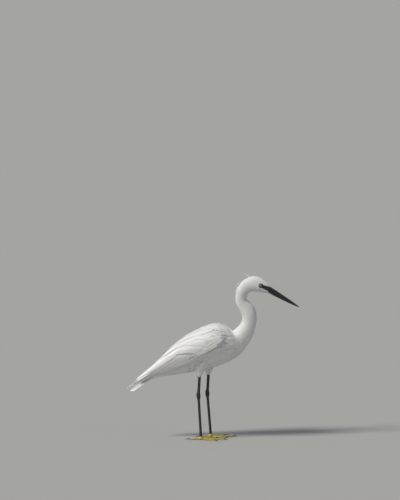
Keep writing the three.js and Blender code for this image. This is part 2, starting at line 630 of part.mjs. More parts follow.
for (const [side, handed] of Object.entries(SIDES)) {
  const eye = meshOf(`eye_${side}`, SKINS.iris, eyeBall(EYE.radius));
  eye.position.set(EYE.x, handed * EYE.aside, EYE.z);
  bird.add(eye);

  bird.add(meshOf(`wing_${side}`, SKINS.feathers, wing(handed, trunkClear)));

  const feathered = thigh(side);
  bird.add(meshOf(`thigh_${side}`, SKINS.feathers, feathered.subtract(trunkClear)));
  const thighBelow = THIGH_SECTIONS.at(-1).height - GAP;
  bird.add(meshOf(`shank_${side}`, SKINS.leg, shank(side, feathered).trimByPlane([0, 0, -1], -thighBelow)));
  bird.add(meshOf(`tarsus_${side}`, SKINS.leg, tarsus(side)));

  const foot = new THREE.Group();
  foot.position.set(STANCE[side].x, handed * FOOT_ASIDE, 0);
  foot.rotation.z = handed * THREE.MathUtils.degToRad(FOOT_TURN_OUT);
  foot.add(meshOf(`foot_${side}`, SKINS.toe, footPad()));
  for (const [name, form] of Object.entries(TOES)) {
    const digit = new THREE.Group();
    digit.rotation.z = handed * THREE.MathUtils.degToRad(form.turn);
    digit.add(meshOf(`toe_${side}_${name}`, SKINS.toe, toe(handed, form)));
    digit.add(meshOf(`claw_${side}_${name}`, SKINS.claw, claw(form)));
    foot.add(digit);
  }
  bird.add(foot);
}

// The origin goes under the middle of the whole bird.
const box = new THREE.Box3().setFromObject(bird, true);
bird.position.set(-(box.min.x + box.max.x) / 2, -(box.min.y + box.max.y) / 2, 0);

export default egret;
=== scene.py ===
"""A life-size little egret: skin, feathers, bill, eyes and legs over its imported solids.

Lengths in the tables are millimetres in the bird's own frame, where x is forward, y is its left side, z is
up, and the floor is z = 0. Everything is turned into metres in the part's frame when it is placed.
"""

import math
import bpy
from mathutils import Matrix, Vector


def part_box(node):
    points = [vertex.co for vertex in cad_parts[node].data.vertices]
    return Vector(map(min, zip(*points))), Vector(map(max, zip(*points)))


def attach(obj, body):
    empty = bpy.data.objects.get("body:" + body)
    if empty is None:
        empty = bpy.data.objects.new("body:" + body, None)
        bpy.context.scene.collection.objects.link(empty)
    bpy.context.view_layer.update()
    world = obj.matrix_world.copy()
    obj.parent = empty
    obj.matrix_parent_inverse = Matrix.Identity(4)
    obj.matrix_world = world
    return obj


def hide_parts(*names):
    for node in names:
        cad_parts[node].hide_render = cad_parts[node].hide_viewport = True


bl_info = {
    "name": "Little Egret",
    "version": (1, 0, 0),
    "blender": (4, 5, 0),
    "location": "View3D > Sidebar > Egret",
    "description": "Builds a life-size little egret, feather by feather",
    "category": "Add Mesh",
}

import bpy
import numpy as np
from bpy.props import FloatProperty, FloatVectorProperty, IntProperty, PointerProperty
from mathutils import Vector
from mathutils.bvhtree import BVHTree

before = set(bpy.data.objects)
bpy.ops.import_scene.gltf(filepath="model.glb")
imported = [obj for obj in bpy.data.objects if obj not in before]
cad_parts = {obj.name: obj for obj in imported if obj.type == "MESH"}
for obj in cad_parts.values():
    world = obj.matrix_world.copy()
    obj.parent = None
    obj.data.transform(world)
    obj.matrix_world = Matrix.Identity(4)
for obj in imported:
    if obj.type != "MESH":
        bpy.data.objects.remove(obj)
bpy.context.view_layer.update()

MM = 0.001
SIDES = {"left": 1.0, "right": -1.0}
FLESH = ("head", "neck_upper", "neck_middle", "neck_lower", "torso", "thigh_left", "thigh_right")


def middle_of(node):
    low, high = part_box(node)
    return (low + high) / 2


# The eye's place in the bird's own frame ties that frame to the part's.
EYE_X, EYE_Z, EYE_RADIUS = 104.8, 361.5, 4.7
BETWEEN_EYES = (middle_of("eye_left") + middle_of("eye_right")) / 2
SHIFT = Vector((BETWEEN_EYES.x - EYE_X * MM, BETWEEN_EYES.y, 0))

# The body's own axis: its middle, and how steeply it runs back and down.
BODY_X, BODY_Z, BODY_SLOPE = 5.0, 222.0, math.radians(26)
# The bill and the head's own frame slope down by this much.
HEAD_SLOPE = math.radians(29)

# The middle line of the bird, x and z, from the root of the bill over the head, down the neck, to the tail.
MIDDLE_LINE = [
    (126, 350), (119, 353.6), (111.5, 357.6), (101.5, 361.5), (91, 363.5), (81, 362.5), (71, 356), (63, 345),
    (59.5, 332.5), (61, 321.5), (66.5, 312), (73, 302), (76.5, 291), (77, 279.5), (73.5, 267.5), (67, 256),
    (57, 246), (42, 237), (22, 231), (-2, 224), (-55, 198), (-110, 171), (-160, 146), (-205, 122),
]
# Along that line, in millimetres from the bill: the length, width and height of the feathers there.
COAT_BY_PLACE = [
    (0, 3.4, 0.9, 0.4), (16, 4.6, 1.0, 0.5), (38, 7.0, 1.1, 0.6), (60, 9.5, 1.25, 0.75), (90, 13, 1.4, 0.85),
    (130, 15, 1.6, 1.0), (160, 18, 2.3, 1.1), (185, 21, 3.6, 1.2), (215, 24, 5.0, 1.25), (300, 26, 5.8, 1.3),
    (420, 25, 5.8, 1.3), (500, 23, 5.6, 1.25),
]
# Length, width and height of the thighs' feathers, and where the face and the neck end along the middle line.
THIGH_COAT = (14, 3.0, 1.7)
FACE_END, NECK_END = 62, 186
# How many places are tried for a small feather, how far apart they are kept, and how far from the eye.
ROOT_TRIES, ROOT_SPACING, EYE_CLEARANCE = 210000, 0.86, 5.4
# How often the skin is smoothed, and from where to where along the middle line its coat gets deeper.
SMOOTHING, COAT_DEEPENS = 14, (20, 160)
# A small feather's thickness at root and tip, how deep it is rooted, and how much its own shape shades it.
ROOT_THICK, TIP_THICK, ROOT_DEPTH, SHAPE_SHARE = 0.3, 0.12, 0.3, 0.45
# The side of the patch that each feather bakes to, as a share of the whole picture.
PATCH = 0.003

# The outside of the folded wings across the body's axis: where, top, bottom, height where widest, half width.
FOLDED_WINGS = [
    (-34, 34, -44.5, 4, 37), (-20, 46, -47, 10, 47), (0, 52.5, -47.5, 14, 52), (30, 54.5, -46, 16, 52.5),
    (60, 53, -42, 16, 49), (90, 47.5, -36, 15, 43), (120, 39, -29, 14, 36), (150, 29.5, -22, 11, 29),
    (180, 20.5, -16, 8, 22.5), (210, 12.5, -12, 5, 16.5), (245, 5, -8, 1, 10),
]
WING_ROUNDNESS = 2.2
# The fleshy bed that wing feathers root in: places along the body's axis, lower and upper edge in degrees.
WING_BED = [
    (-28, 14, 32), (-20, 2, 46), (-6, -5, 52), (20, -8, 54), (60, -10, 52), (100, -12, 46), (140, -13, 38),
]
# Rows of wing feathers from the lowest layer out: how many, first and last root and first and last tip as
# (along the body's axis, degrees up), width, height at root and tip, how much each lies over the one before,
# and how blunt they are.
WING_ROWS = {
    "primary": (7, (92, -6), (108, 20), (236, 1), (207, 18), 9.5, (-5.2, -3.6), 0.3, 4),
    "secondary": (12, (4, -3), (66, 30), (142, -14), (211, 21), 13, (-5.0, -1.3), 0.1, 4),
    "tertial": (5, (40, 32), (64, 50), (168, 20), (209, 46), 17, (-4.4, 0.2), 0.12, 3.4),
    "greater": (14, (-10, 0), (52, 42), (50, -10), (120, 33), 12.5, (-4.4, 0.0), 0.04, 3),
    "median": (13, (-22, 4), (22, 47), (21, -8), (80, 41), 12, (-4.6, 0.2), 0.03, 2.8),
    "lesser": (12, (-27, 10), (2, 51), (3, -3), (50, 46), 11, (-4.8, 0.4), 0.02, 2.6),
    "inner_scapular": (8, (-20, 50), (26, 70), (26, 44), (82, 62), 13, (-4.6, 1.1), 0.05, 2.8),
    "long_scapular": (7, (4, 46), (40, 66), (70, 38), (130, 56), 14, (-4.4, 0.8), 0.07, 3),
}
# The tail feathers: root and tip along the body's axis, the heights there, how many, width and half spread.
TAIL_ROOT, TAIL_TIP, TAIL_HEIGHTS = 158.0, 233.0, (5.5, -6.5)
TAIL_FEATHERS, TAIL_FEATHER_WIDTH, TAIL_SPREAD = 12, 11.0, 13.5
# The soft feathers over and under the root of the tail. At places along the body's axis: the height of their
# outermost line, the height where they are widest, and half their width. Then each row's root, tip and count.
TAIL_COVERTS = {
    "upper": (
        [
            (130, 33, 9, 21), (140, 30, 8, 18.5), (150, 27, 8, 16), (160, 23, 7.5, 13), (168, 19.4, 7, 11.2),
            (176, 14.5, 4, 10), (184, 9.2, 0.5, 9.5), (192, 5.0, -2, 10), (206, 1.0, -5, 11.5),
        ],
        [(128, 166, 9), (138, 178, 8), (147, 189, 8), (155, 197, 7), (162, 205, 6)],
    ),
    "under": (
        [
            (124, -20, 9, 22), (140, -14.5, 8, 17.5), (155, -9.5, 7, 13.5), (168, -6.2, 5, 10.8),
            (180, -5.8, 1, 9.5), (192, -6.6, -2, 10), (208, -9.4, -6, 12),
        ],
        [(122, 158, 8), (134, 172, 8), (145, 184, 7), (154, 196, 6)],
    ),
}

# The area that counts as the wing's bed: limits along the body's axis, in degrees, and how far out.
BED_ALONG, BED_DEGREES, BED_REACH = (-34, 142), (-14, 58), 0.72
# How deep the bed's inner and outer faces lie under the wing's outside.
BED_DEPTHS = (-15.0, -2.0)
# Small feathers stop under the wing from here on, and below this many degrees.
UNDER_WING_FROM, UNDER_WING_BELOW = 6, 46
# Those just before and just below the wing's edge lie over it: in these degrees, along this stretch, so high.
BEFORE_DEGREES, BELOW_DEGREES, BELOW_ALONG, OVER_EDGE = (-24, 50), (-30, -4), (-40, 78), 2.9

# The bill in the head's frame, from the middle of the eye: forward, ridge, mouth, underside, half width.
BILL = [
    (14, 7.6, -2.4, -6.6, 5.4), (22, 8.3, -2.3, -7.1, 5.7), (30, 7.8, -2.1, -7.0, 5.4),
    (40, 6.9, -1.8, -6.6, 4.8), (52, 5.9, -1.4, -6.0, 4.1), (66, 4.7, -1.2, -5.2, 3.3),
    (80, 3.3, -1.0, -4.3, 2.5), (92, 1.8, -1.0, -3.4, 1.7), (100, 0.6, -1.0, -2.5, 1.0),
    (104.6, -0.4, -1.0, -1.6, 0.4),
]
def number_of(name, description, default, **kind):
    return FloatProperty(name=name, description=description, default=default, **kind)


def length_of(name, description, default):
    return number_of(name, description, default, unit="LENGTH", subtype="DISTANCE")


def colour_of(name, description, default):
    return FloatVectorProperty(name=name, description=description, default=default, subtype="COLOR")


class EgretSizes(bpy.types.PropertyGroup):
    """Sizes that a user may change."""

    skin_voxel: length_of("Skin grain", "Edge length of the skin's faces", 0.0013)
    body_coat: length_of("Body coat", "Depth of the feathers over the skin", 0.0013)
    head_coat: length_of("Head coat", "Depth of the feathers on the face", 0.0009)
    lid_ring: length_of("Lid ring", "Radius of the dark ring round the eye", 0.0046)
    cover: number_of("Cover", "How many feathers lie over each spot", 9.0, min=1, max=12)
    seed: IntProperty(name="Seed", description="Changes how the feathers vary", default=7)


class EgretColours(bpy.types.PropertyGroup):
    """Colours that a user may change."""

    plumage: colour_of("Plumage", "White of the feathers", (0.84, 0.84, 0.82))
    # Painted shade: a grey that stands for the shade falling on the feathers' roots under those over them,
    # and on the skin seen between them.
    root_shade: colour_of("Root shade", "Shade at the feathers' roots", (0.66, 0.67, 0.68))
    bill: colour_of("Bill", "Slate of the bill", (0.013, 0.0135, 0.015))
    bill_base: colour_of("Bill base", "Root of the lower bill", (0.28, 0.245, 0.21))
    lores: colour_of("Lores", "Bare skin before the eye", (0.030, 0.031, 0.033))
    # Painted shade: the iris is given darker than its own pale yellow, as it is when in shade.
    iris: colour_of("Iris", "Dull yellow of the eye", (0.20, 0.15, 0.04))
    leg: colour_of("Leg", "Black of the legs", (0.014, 0.014, 0.013))
    toe: colour_of("Toes", "Yellow of the toes", (0.44, 0.37, 0.07))
    claw: colour_of("Claws", "Dark horn of the claws", (0.035, 0.028, 0.022))
    floor: colour_of("Floor", "Pale studio floor", (0.43, 0.43, 0.42))


class EgretStudio(bpy.types.PropertyGroup):
    """Camera and light."""

    distance: length_of("Distance", "Camera to bird", 8.0)
    height: number_of("Height", "Camera above the level", math.radians(4.6), unit="ROTATION", subtype="ANGLE")
    lens: number_of("Lens", "Focal length", 246.0, unit="CAMERA")
    aim_x: length_of("Aim forward", "Middle of the view, in the bird's frame", -0.0374)
    aim_z: length_of("Aim height", "Middle of the view above the floor", 0.4446)
    key: number_of("Key light", "Strength of the soft sun", 2.75, min=0)
    fill: number_of("Fill light", "Strength of the cool light from the front", 0.12, min=0)
    room: number_of("Room light", "Strength of the light from all round", 0.28, min=0)


# Frames and places


def place(points):
    """Points in the bird's own frame, in millimetres, as metres in the part's frame."""
    return np.asarray(points, float) * MM + np.array(SHIFT)


def own(points):
    """The other way: metres in the part's frame as millimetres in the bird's own."""
    return (np.asarray(points, float) - np.array(SHIFT)) / MM


def vertices_of(obj):
    """A piece's vertices in the bird's own frame."""
    return own(np.array([v.co for v in obj.data.vertices]))


def unit(vectors):
    return vectors / np.maximum(np.linalg.norm(vectors, axis=-1, keepdims=True), 1e-6)


def turned(along, up, slope):
    """Distances along and square to a line that slopes down by an angle, from those along x and z."""
    c, s = math.cos(slope), math.sin(slope)
    return along * c + up * s, up * c - along * s


def body_points(along, high, left):
    """Points in the bird's own frame, given along the body's axis, square to it, and to the left."""
    back, up = turned(along, high, BODY_SLOPE)
    return np.stack([BODY_X - back, left, BODY_Z + up], -1)


def body_place(points):
    """How far along and how high across the body's axis points in the bird's own frame are."""
    forward, up = turned(points[..., 0] - BODY_X, points[..., 2] - BODY_Z, BODY_SLOPE)
    return -forward, up


def head_place(points):
    """How far before and above the eye points are, along the head's own slope."""
    return turned(points[..., 0] - EYE_X, points[..., 2] - EYE_Z, -HEAD_SLOPE)


def smooth_table(rows, steps=400):
    """A table read as smooth curves: its first column, and the others, at many places."""
    rows = np.array(rows, float)
    at = np.linspace(rows[0, 0], rows[-1, 0], steps)
    window = np.hanning(2 * (steps // 22) + 1)
    window /= window.sum()
    pad = len(window) // 2
    columns = []
    for column in rows.T[1:]:
        line = np.interp(at, rows[:, 0], column)
        line = np.concatenate([2 * line[0] - line[pad:0:-1], line, 2 * line[-1] - line[-2 : -pad - 2 : -1]])
        columns.append(np.convolve(line, window, "valid"))
    return at, columns


def read(table, at):
    return [np.interp(at, table[0], column) for column in table[1]]


FOLDED = smooth_table(FOLDED_WINGS)


def swell(value):
    return np.sign(value) * np.abs(value) ** (2 / WING_ROUNDNESS)


def wing_points(handed, along, degrees, lift):
    """Points on the outside of a folded wing, lifted off it."""
    top, bottom, level, side = read(FOLDED, along)
    turn = np.radians(degrees)
    up = np.where(turn > 0, top - level, level - bottom)
    out = unit(np.stack([np.cos(turn) * up, np.sin(turn) * side], -1))
    left = side * swell(np.cos(turn)) + out[..., 0] * lift
    high = level + up * swell(np.sin(turn)) + out[..., 1] * lift
    return body_points(along, high, handed * left)


def lie_of_coat(points):
    """Which way feathers lie at points, how far along the bird the points are, and their turn round it."""
    knots = np.array(MIDDLE_LINE, float)
    run = np.concatenate([[0], np.cumsum(np.linalg.norm(np.diff(knots, axis=0), axis=1))])
    along, line = smooth_table(np.column_stack([run, knots]), 260)
    line = np.column_stack(line)
    tangent = unit(np.gradient(line, axis=0))
    near = ((points[:, None, [0, 2]] - line) ** 2).sum(-1)
    weight = 1 / (near + 9) ** 4
    weight /= weight.sum(1, keepdims=True)
    lie = weight @ tangent
    back = points[:, [0, 2]] - weight @ line
    around = np.arctan2(back[:, 1] * -lie[:, 0] + back[:, 0] * lie[:, 1], points[:, 1])
    flow = np.column_stack([lie[:, 0], np.zeros(len(points)), lie[:, 1]])
    legs = thigh_share(points)[:, None]
    return unit(flow * (1 - legs) + np.array([-0.25, 0, -1]) * legs), weight @ along, around


def thigh_share(points):
    """1 on the feathered thighs, fading to 0 where they meet the belly."""
    share = np.zeros(len(points))
    for side, handed in SIDES.items():
        low, high = (own(corner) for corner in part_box(f"thigh_{side}"))
        inside = (np.abs(points[:, 0] - (low[0] + high[0]) / 2) < 24) & (points[:, 1] * handed > 8)
        share = np.maximum(share, inside * np.clip((high[2] - 6 - points[:, 2]) / 14, 0, 1))
    return share
# Making and finishing pieces


def deselect():
    if bpy.context.object and bpy.context.object.mode != "OBJECT":
        bpy.ops.object.mode_set(mode="OBJECT")
    bpy.ops.object.select_all(action="DESELECT")


def pick(obj):
    deselect()
    obj.select_set(True)
    bpy.context.view_layer.objects.active = obj


def named(name):
    """The piece that was just made, by its own name."""
    obj = bpy.context.object
    obj.name = obj.data.name = name
    return obj


def carry(obj, finish, slot, *nodes):
    """A finished piece gets its material, and stands for its nodes."""
    obj.data.materials.clear()
    obj.data.materials.append(bpy.data.materials[finish])
    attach(obj, "root")
    if nodes:
        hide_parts(*nodes)


def mark(mesh, key, values):
    """A value at each vertex, for a material to read."""
    mesh.attributes.new(key, "FLOAT", "POINT").data.foreach_set("value", np.asarray(values, np.float32))


def apply_modifiers(obj):
    pick(obj)
    for modifier in list(obj.modifiers):
        bpy.ops.object.modifier_apply(modifier=modifier.name)


def vane_faces(rows, columns):
    """The faces of one closed vane, whose corners are numbered by row, column, and under or upper face."""
    cell = np.arange(rows * columns * 2).reshape(rows, columns, 2)
    low, top = cell[..., 0], cell[..., 1]
    strips = (
        (top[:-1, :-1], top[1:, :-1], top[1:, 1:], top[:-1, 1:]),
        (low[:-1, :-1], low[:-1, 1:], low[1:, 1:], low[1:, :-1]),
        (low[:-1, 0], low[1:, 0], top[1:, 0], top[:-1, 0]),
        (low[:-1, -1], top[:-1, -1], top[1:, -1], low[1:, -1]),
        (low[0, :-1], top[0, :-1], top[0, 1:], low[0, 1:]),
        (low[-1, :-1], low[-1, 1:], top[-1, 1:], top[-1, :-1]),
    )
    return np.concatenate([np.stack(strip, -1).reshape(-1, 4) for strip in strips])


def sheet_of_vanes(name, points, attributes, root_uv, handed=1.0, ups=None):
    """Thin closed vanes as one mesh. points has the shape (vane, row, column, under or upper face, 3).

    With ups, the skin's normal at each row, the vanes shade as one soft surface.
    """
    if not np.isfinite(points).all():
        raise RuntimeError(f"{name} has a broken vane")
    count, rows, columns = points.shape[:3]
    size = rows * columns * 2
    quads = vane_faces(rows, columns)[:, :: int(handed)]
    quads = (quads + (np.arange(count) * size)[:, None, None]).reshape(-1, 4)
    mesh = bpy.data.meshes.new(name)
    mesh.vertices.add(count * size)
    mesh.vertices.foreach_set("co", place(points).astype(np.float32).ravel())
    mesh.loops.add(quads.size)
    mesh.loops.foreach_set("vertex_index", quads.ravel().astype(np.int32))
    mesh.polygons.add(len(quads))
    mesh.polygons.foreach_set("loop_start", np.arange(0, quads.size, 4, dtype=np.int32))
    mesh.update(calc_edges=True)
    mesh.polygons.foreach_set("use_smooth", np.ones(len(quads), bool))
    # Each vane bakes to its own small patch, at its root's place on the unrolled bird.
    grid = np.meshgrid(np.linspace(0, PATCH, rows), np.linspace(0, PATCH, columns), indexing="ij")
    uv = root_uv[:, None, None, None] + np.repeat(np.stack(grid, -1)[:, :, None], 2, 2)
    layer = mesh.uv_layers.new(name="OFBake")
    layer.data.foreach_set("uv", uv.reshape(-1, 2)[quads.ravel()].astype(np.float32).ravel())
    for key, values in attributes.items():
        mark(mesh, key, np.broadcast_to(values, (count, rows, columns, 2)).reshape(-1))
    if ups is not None:
        facing = np.broadcast_to(ups[:, :, None, None] * np.array([[0], [1]]), points.shape).reshape(-1, 3)
        shape = np.empty(count * size * 3, np.float32)
        mesh.vertex_normals.foreach_get("vector", shape)
        mesh.normals_split_custom_set_from_vertices(unit(facing + SHAPE_SHARE * shape.reshape(-1, 3)))
    obj = bpy.data.objects.new(name, mesh)
    bpy.context.scene.collection.objects.link(obj)
    return obj


def outline(rows, blunt=5.0, tip=0.22, root=0.45):
    """A vane's half width from root to tip, as a share."""
    run = np.linspace(0, 1, rows)
    return np.minimum(root + 2.2 * run, 1) * np.sqrt(np.maximum(1 - run**blunt, tip**2))


def vane_attributes(points, length, width, rng):
    """What the feather finish reads: the share from the root, millimetres along and across, and a tone."""
    count, rows, columns = points.shape[:3]
    run = np.linspace(0, 1, rows)[:, None, None]
    aside = np.linspace(-1, 1, columns)[:, None]
    length, width = (np.broadcast_to(v, (count,))[:, None, None, None] for v in (length, width))
    tone = rng.random((count, 1, 1, 1))
    return {"run": run, "along_mm": run * length, "across_mm": aside * width / 2, "tone": tone}


def extruded(name, stations, sides, axis):
    """A limb drawn out from a circle through stations of (middle, two half sizes) along +X or downwards."""
    deselect()
    turn = (0, math.pi / 2, 0) if axis == "X" else (0, 0, 0)
    bpy.ops.mesh.primitive_circle_add(vertices=sides, radius=1, fill_type="NGON", rotation=turn)
    obj = named(name)
    bpy.ops.object.transform_apply(location=False, rotation=True, scale=False)
    stations = [(Vector(middle), size) for middle, size in stations]

    def stretch(a, b):
        return (1, a, b) if axis == "X" else (a, b, 1)

    bpy.ops.object.mode_set(mode="EDIT")
    bpy.ops.mesh.select_all(action="SELECT")
    bpy.ops.transform.resize(value=stretch(*stations[0][1]))
    bpy.ops.transform.translate(value=stations[0][0])
    for (before, was), (middle, size) in zip(stations, stations[1:]):
        bpy.ops.mesh.extrude_region_move(TRANSFORM_OT_translate={"value": middle - before})
        bpy.ops.transform.resize(value=stretch(size[0] / was[0], size[1] / was[1]), center_override=middle)
    bpy.ops.mesh.select_all(action="SELECT")
    bpy.ops.mesh.normals_make_consistent(inside=False)
    bpy.ops.object.mode_set(mode="OBJECT")
    modifier = obj.modifiers.new("round", "SUBSURF")
    modifier.levels = modifier.render_levels = 1
    apply_modifiers(obj)
    bpy.ops.object.shade_smooth()
    return obj


def cut(obj, point, normal):
    """Cuts a piece by a plane, closes the cut and drops what lies behind the plane."""
    pick(obj)
    bpy.ops.object.mode_set(mode="EDIT")
    bpy.ops.mesh.select_all(action="SELECT")
    bpy.ops.mesh.bisect(plane_co=point, plane_no=normal, use_fill=True, clear_inner=True)
    bpy.ops.object.mode_set(mode="OBJECT")


def settle(obj, location, turn=(0, 0, 0)):
    """Puts a piece made at the origin in its place in the part's frame, with that place in its mesh."""
    pick(obj)
    obj.rotation_euler = turn
    obj.location = location
    bpy.ops.object.transform_apply(location=True, rotation=True, scale=True)
    return obj
# Materials


def feed(tree, made, inputs):
    """Gives a node's inputs their constants or links."""
    for key, value in inputs.items():
        if isinstance(value, bpy.types.NodeSocket):
            tree.links.new(value, made.inputs[key])
        else:
            made.inputs[key].default_value = value


def new_material(name):
    material = bpy.data.materials.new(name)
    material.use_nodes = True
    return material.node_tree, material.node_tree.nodes["Principled BSDF"]


def node(tree, kind, inputs=None, **settings):
    made = tree.nodes.new(kind)
    for key, value in settings.items():
        setattr(made, key, value)
    feed(tree, made, inputs or {})
    return made


def math_node(tree, operation, *values, clamp=False):
    made = node(tree, "ShaderNodeMath", dict(enumerate(values)), operation=operation, use_clamp=clamp)
    return made.outputs[0]


def times(tree, a, b):
    return math_node(tree, "MULTIPLY", a, b)


def plus(tree, a, b, clamp=False):
    return math_node(tree, "ADD", a, b, clamp=clamp)


def ramp(tree, value, low, high):
    """0 below low and 1 above high."""
    limits = {"Value": value, "From Min": low, "From Max": high}
    return node(tree, "ShaderNodeMapRange", limits, interpolation_type="SMOOTHSTEP").outputs["Result"]


def mixed(tree, share, a, b):
    a, b = (v if isinstance(v, bpy.types.NodeSocket) else (*v, 1) for v in (a, b))
    return node(tree, "ShaderNodeMix", {0: share, 6: a, 7: b}, data_type="RGBA").outputs[2]


def shade(colour, share):
    return [share * c for c in colour]


def attribute(tree, name):
    return node(tree, "ShaderNodeAttribute", attribute_name=name).outputs["Fac"]


def coordinates(tree, kind="Object"):
    return node(tree, "ShaderNodeTexCoord").outputs[kind]


def noise(tree, vector, scale, detail):
    inputs = {"Vector": vector, "Scale": scale, "Detail": detail}
    return node(tree, "ShaderNodeTexNoise", inputs).outputs["Fac"]


def group(name, inputs, outputs):
    tree = bpy.data.node_groups.new(name, "ShaderNodeTree")
    for key, value in inputs.items():
        socket = tree.interface.new_socket(key, in_out="INPUT", socket_type="NodeSocketFloat")
        socket.default_value = value
    for key in outputs:
        tree.interface.new_socket(key, in_out="OUTPUT", socket_type="NodeSocketFloat")
    return tree, tree.nodes.new("NodeGroupInput").outputs, tree.nodes.new("NodeGroupOutput")


def barbs_group():
    """Fine slanting barbs either side of a raised shaft, with a few gaps where barbs have parted."""
    inputs = {"Along": 0, "Across": 0, "Pitch": 0.55, "Tone": 0}
    tree, given, put = group("Feather barbs", inputs, ("Height", "Shaft", "Parting"))
    aside = math_node(tree, "ABSOLUTE", given["Across"])
    slant = math_node(tree, "MULTIPLY_ADD", aside, -1.5, given["Along"])
    wave = math_node(tree, "SINE", math_node(tree, "DIVIDE", times(tree, slant, 2 * math.pi), given["Pitch"]))
    spot = {"X": times(tree, slant, 0.35), "Y": times(tree, given["Tone"], 53.0)}
    spot = node(tree, "ShaderNodeCombineXYZ", spot).outputs[0]
    parting = ramp(tree, noise(tree, spot, 2.2, 2.0), 0.62, 0.70)
    shaft = ramp(tree, aside, 0.42, 0.18)
    height = plus(tree, times(tree, wave, 0.3), times(tree, shaft, 1.6))
    height = plus(tree, height, times(tree, parting, -0.8))
    feed(tree, put, {"Height": height, "Shaft": shaft, "Parting": parting})
    return tree


def mottle_group():
    """Soft uneven patches and fine grain, the same on every bare part."""
    tree, given, put = group("Skin mottle", {"Size": 0.004, "Grain": 0.0004}, ("Patches", "Grain"))
    vector = coordinates(tree)
    for key, target, detail in (("Size", "Patches", 3.0), ("Grain", "Grain", 1.0)):
        scale = math_node(tree, "DIVIDE", 1.0, given[key])
        feed(tree, put, {target: noise(tree, vector, scale, detail)})
    return tree


def placed_group(tree, made, inputs=None):
    found = tree.nodes.new("ShaderNodeGroup")
    found.node_tree = bpy.data.node_groups.get(made.name)
    feed(tree, found, inputs or {})
    return found.outputs


def bump(tree, shader, height, distance, strength=1.0):
    made = node(tree, "ShaderNodeBump", {"Height": height, "Distance": distance, "Strength": strength})
    feed(tree, shader, {"Normal": made.outputs["Normal"]})


def feather_material(name, barbs, pitch, strength, colours, root_shade_share, shaft):
    """White vanes with painted shade towards their roots and where barbs have parted, barbs in relief and a
    faint warm shaft.
    """
    tree, shader = new_material(name)
    keys = {"Along": "along_mm", "Across": "across_mm", "Tone": "tone"}
    inputs = {socket: attribute(tree, key) for socket, key in keys.items()}
    barb = placed_group(tree, barbs, {**inputs, "Pitch": pitch})
    # Painted shade: the colour goes towards the root shade near each root and where barbs have parted; the
    # tone is a real random difference.
    root = math_node(tree, "SUBTRACT", 1.0, attribute(tree, "run"), clamp=True)
    root = times(tree, math_node(tree, "POWER", root, 2.0), root_shade_share)
    share = plus(tree, root, times(tree, inputs["Tone"], 0.12), clamp=True)
    share = plus(tree, share, times(tree, barb["Parting"], 0.10), clamp=True)
    colour = mixed(tree, share, colours.plumage, colours.root_shade)
    colour = mixed(tree, times(tree, barb["Shaft"], shaft * 0.35), colour, (0.78, 0.76, 0.70))
    feed(tree, shader, {
        "Base Color": colour, "Roughness": 0.62, "Sheen Weight": 0.25, "Sheen Roughness": 0.4,
        "Subsurface Weight": 0.35, "Subsurface Radius": (0.004, 0.0038, 0.0035),
    })
    bump(tree, shader, barb["Height"], 0.00012, strength)


def bare_material(name, mottle, colour, dark, rough, coat, size, root=None):
    """Horn or bare skin: a colour in soft patches, with a fine grain, and paler where it is marked so."""
    tree, shader = new_material(name)
    mottled = placed_group(tree, mottle, {"Size": size})
    skin = mixed(tree, ramp(tree, mottled["Patches"], 0.35, 0.7), colour, dark)
    if root is not None:
        skin = mixed(tree, attribute(tree, "pale"), skin, root)
    roughness = math_node(tree, "MULTIPLY_ADD", mottled["Patches"], 0.25, rough - 0.12)
    feed(tree, shader, {"Base Color": skin, "Roughness": roughness})
    feed(tree, shader, {"Coat Weight": coat, "Coat Roughness": 0.25})
    bump(tree, shader, mottled["Grain"], 0.00008, 0.6)
    return tree, shader


def skin_material(mottle, colours):
    """Where feathers cover it, the grey of the painted shade at the feathers' roots, with slate lores between
    the eye and the bill.
    """
    tree, shader = new_material("bare_skin")
    mottled = placed_group(tree, mottle)
    uneven = math_node(tree, "SUBTRACT", mottled["Patches"], 0.5)
    edge = math_node(tree, "MULTIPLY_ADD", uneven, 0.5, attribute(tree, "lores"))
    skin = mixed(tree, mottled["Patches"], colours.lores, shade(colours.lores, 0.6))
    # Painted shade: outside the lores, the skin seen between the feathers takes the root shade.
    skin = mixed(tree, ramp(tree, edge, 0.35, 0.6), colours.root_shade, skin)
    feed(tree, shader, {"Base Color": skin, "Roughness": 0.55})
    bump(tree, shader, mottled["Grain"], 0.0001, 0.7)


def eye_material(colours):
    """A black pupil in an iris whose pale yellow is painted darker as shade, with a dark rim, round the eye's
    own middle.
    """
    tree, shader = new_material("eye")
    middle = place([EYE_X, 0, EYE_Z])
    inputs = {"Vector": coordinates(tree), "Location": (-middle[0], 0, -middle[2])}
    moved = node(tree, "ShaderNodeMapping", inputs).outputs[0]
    flat = node(tree, "ShaderNodeVectorMath", {0: moved, 1: (1, 0, 1)}, operation="MULTIPLY").outputs[0]
    radius = node(tree, "ShaderNodeVectorMath", {0: flat}, operation="LENGTH").outputs["Value"]
    # Painted shade: this colour stands for a pale yellow iris in shade; the noise is real unevenness.
    iris = mixed(tree, noise(tree, moved, 1400.0, 2.0), colours.iris, shade(colours.iris, 0.7))
    rimmed = mixed(tree, ramp(tree, radius, 0.0030, 0.0035), iris, (0.02, 0.018, 0.015))
    whole = mixed(tree, ramp(tree, radius, 0.0020, 0.0018), rimmed, (0.004, 0.004, 0.004))
    feed(tree, shader, {"Base Color": whole, "Roughness": 0.12, "Coat Weight": 1.0, "Coat Roughness": 0.03})


def scale_material(name, mottle, colour, dark):
    """Leg skin: small scales between the raised plates."""
    tree, shader = bare_material(name, mottle, colour, dark, 0.5, 0.15, 0.006)
    inputs = {"Vector": coordinates(tree), "Scale": 700.0}
    cells = node(tree, "ShaderNodeTexVoronoi", inputs, feature="DISTANCE_TO_EDGE")
    bump(tree, shader, ramp(tree, cells.outputs["Distance"], 0.0, 0.12), 0.00012, 0.7)


# Pieces


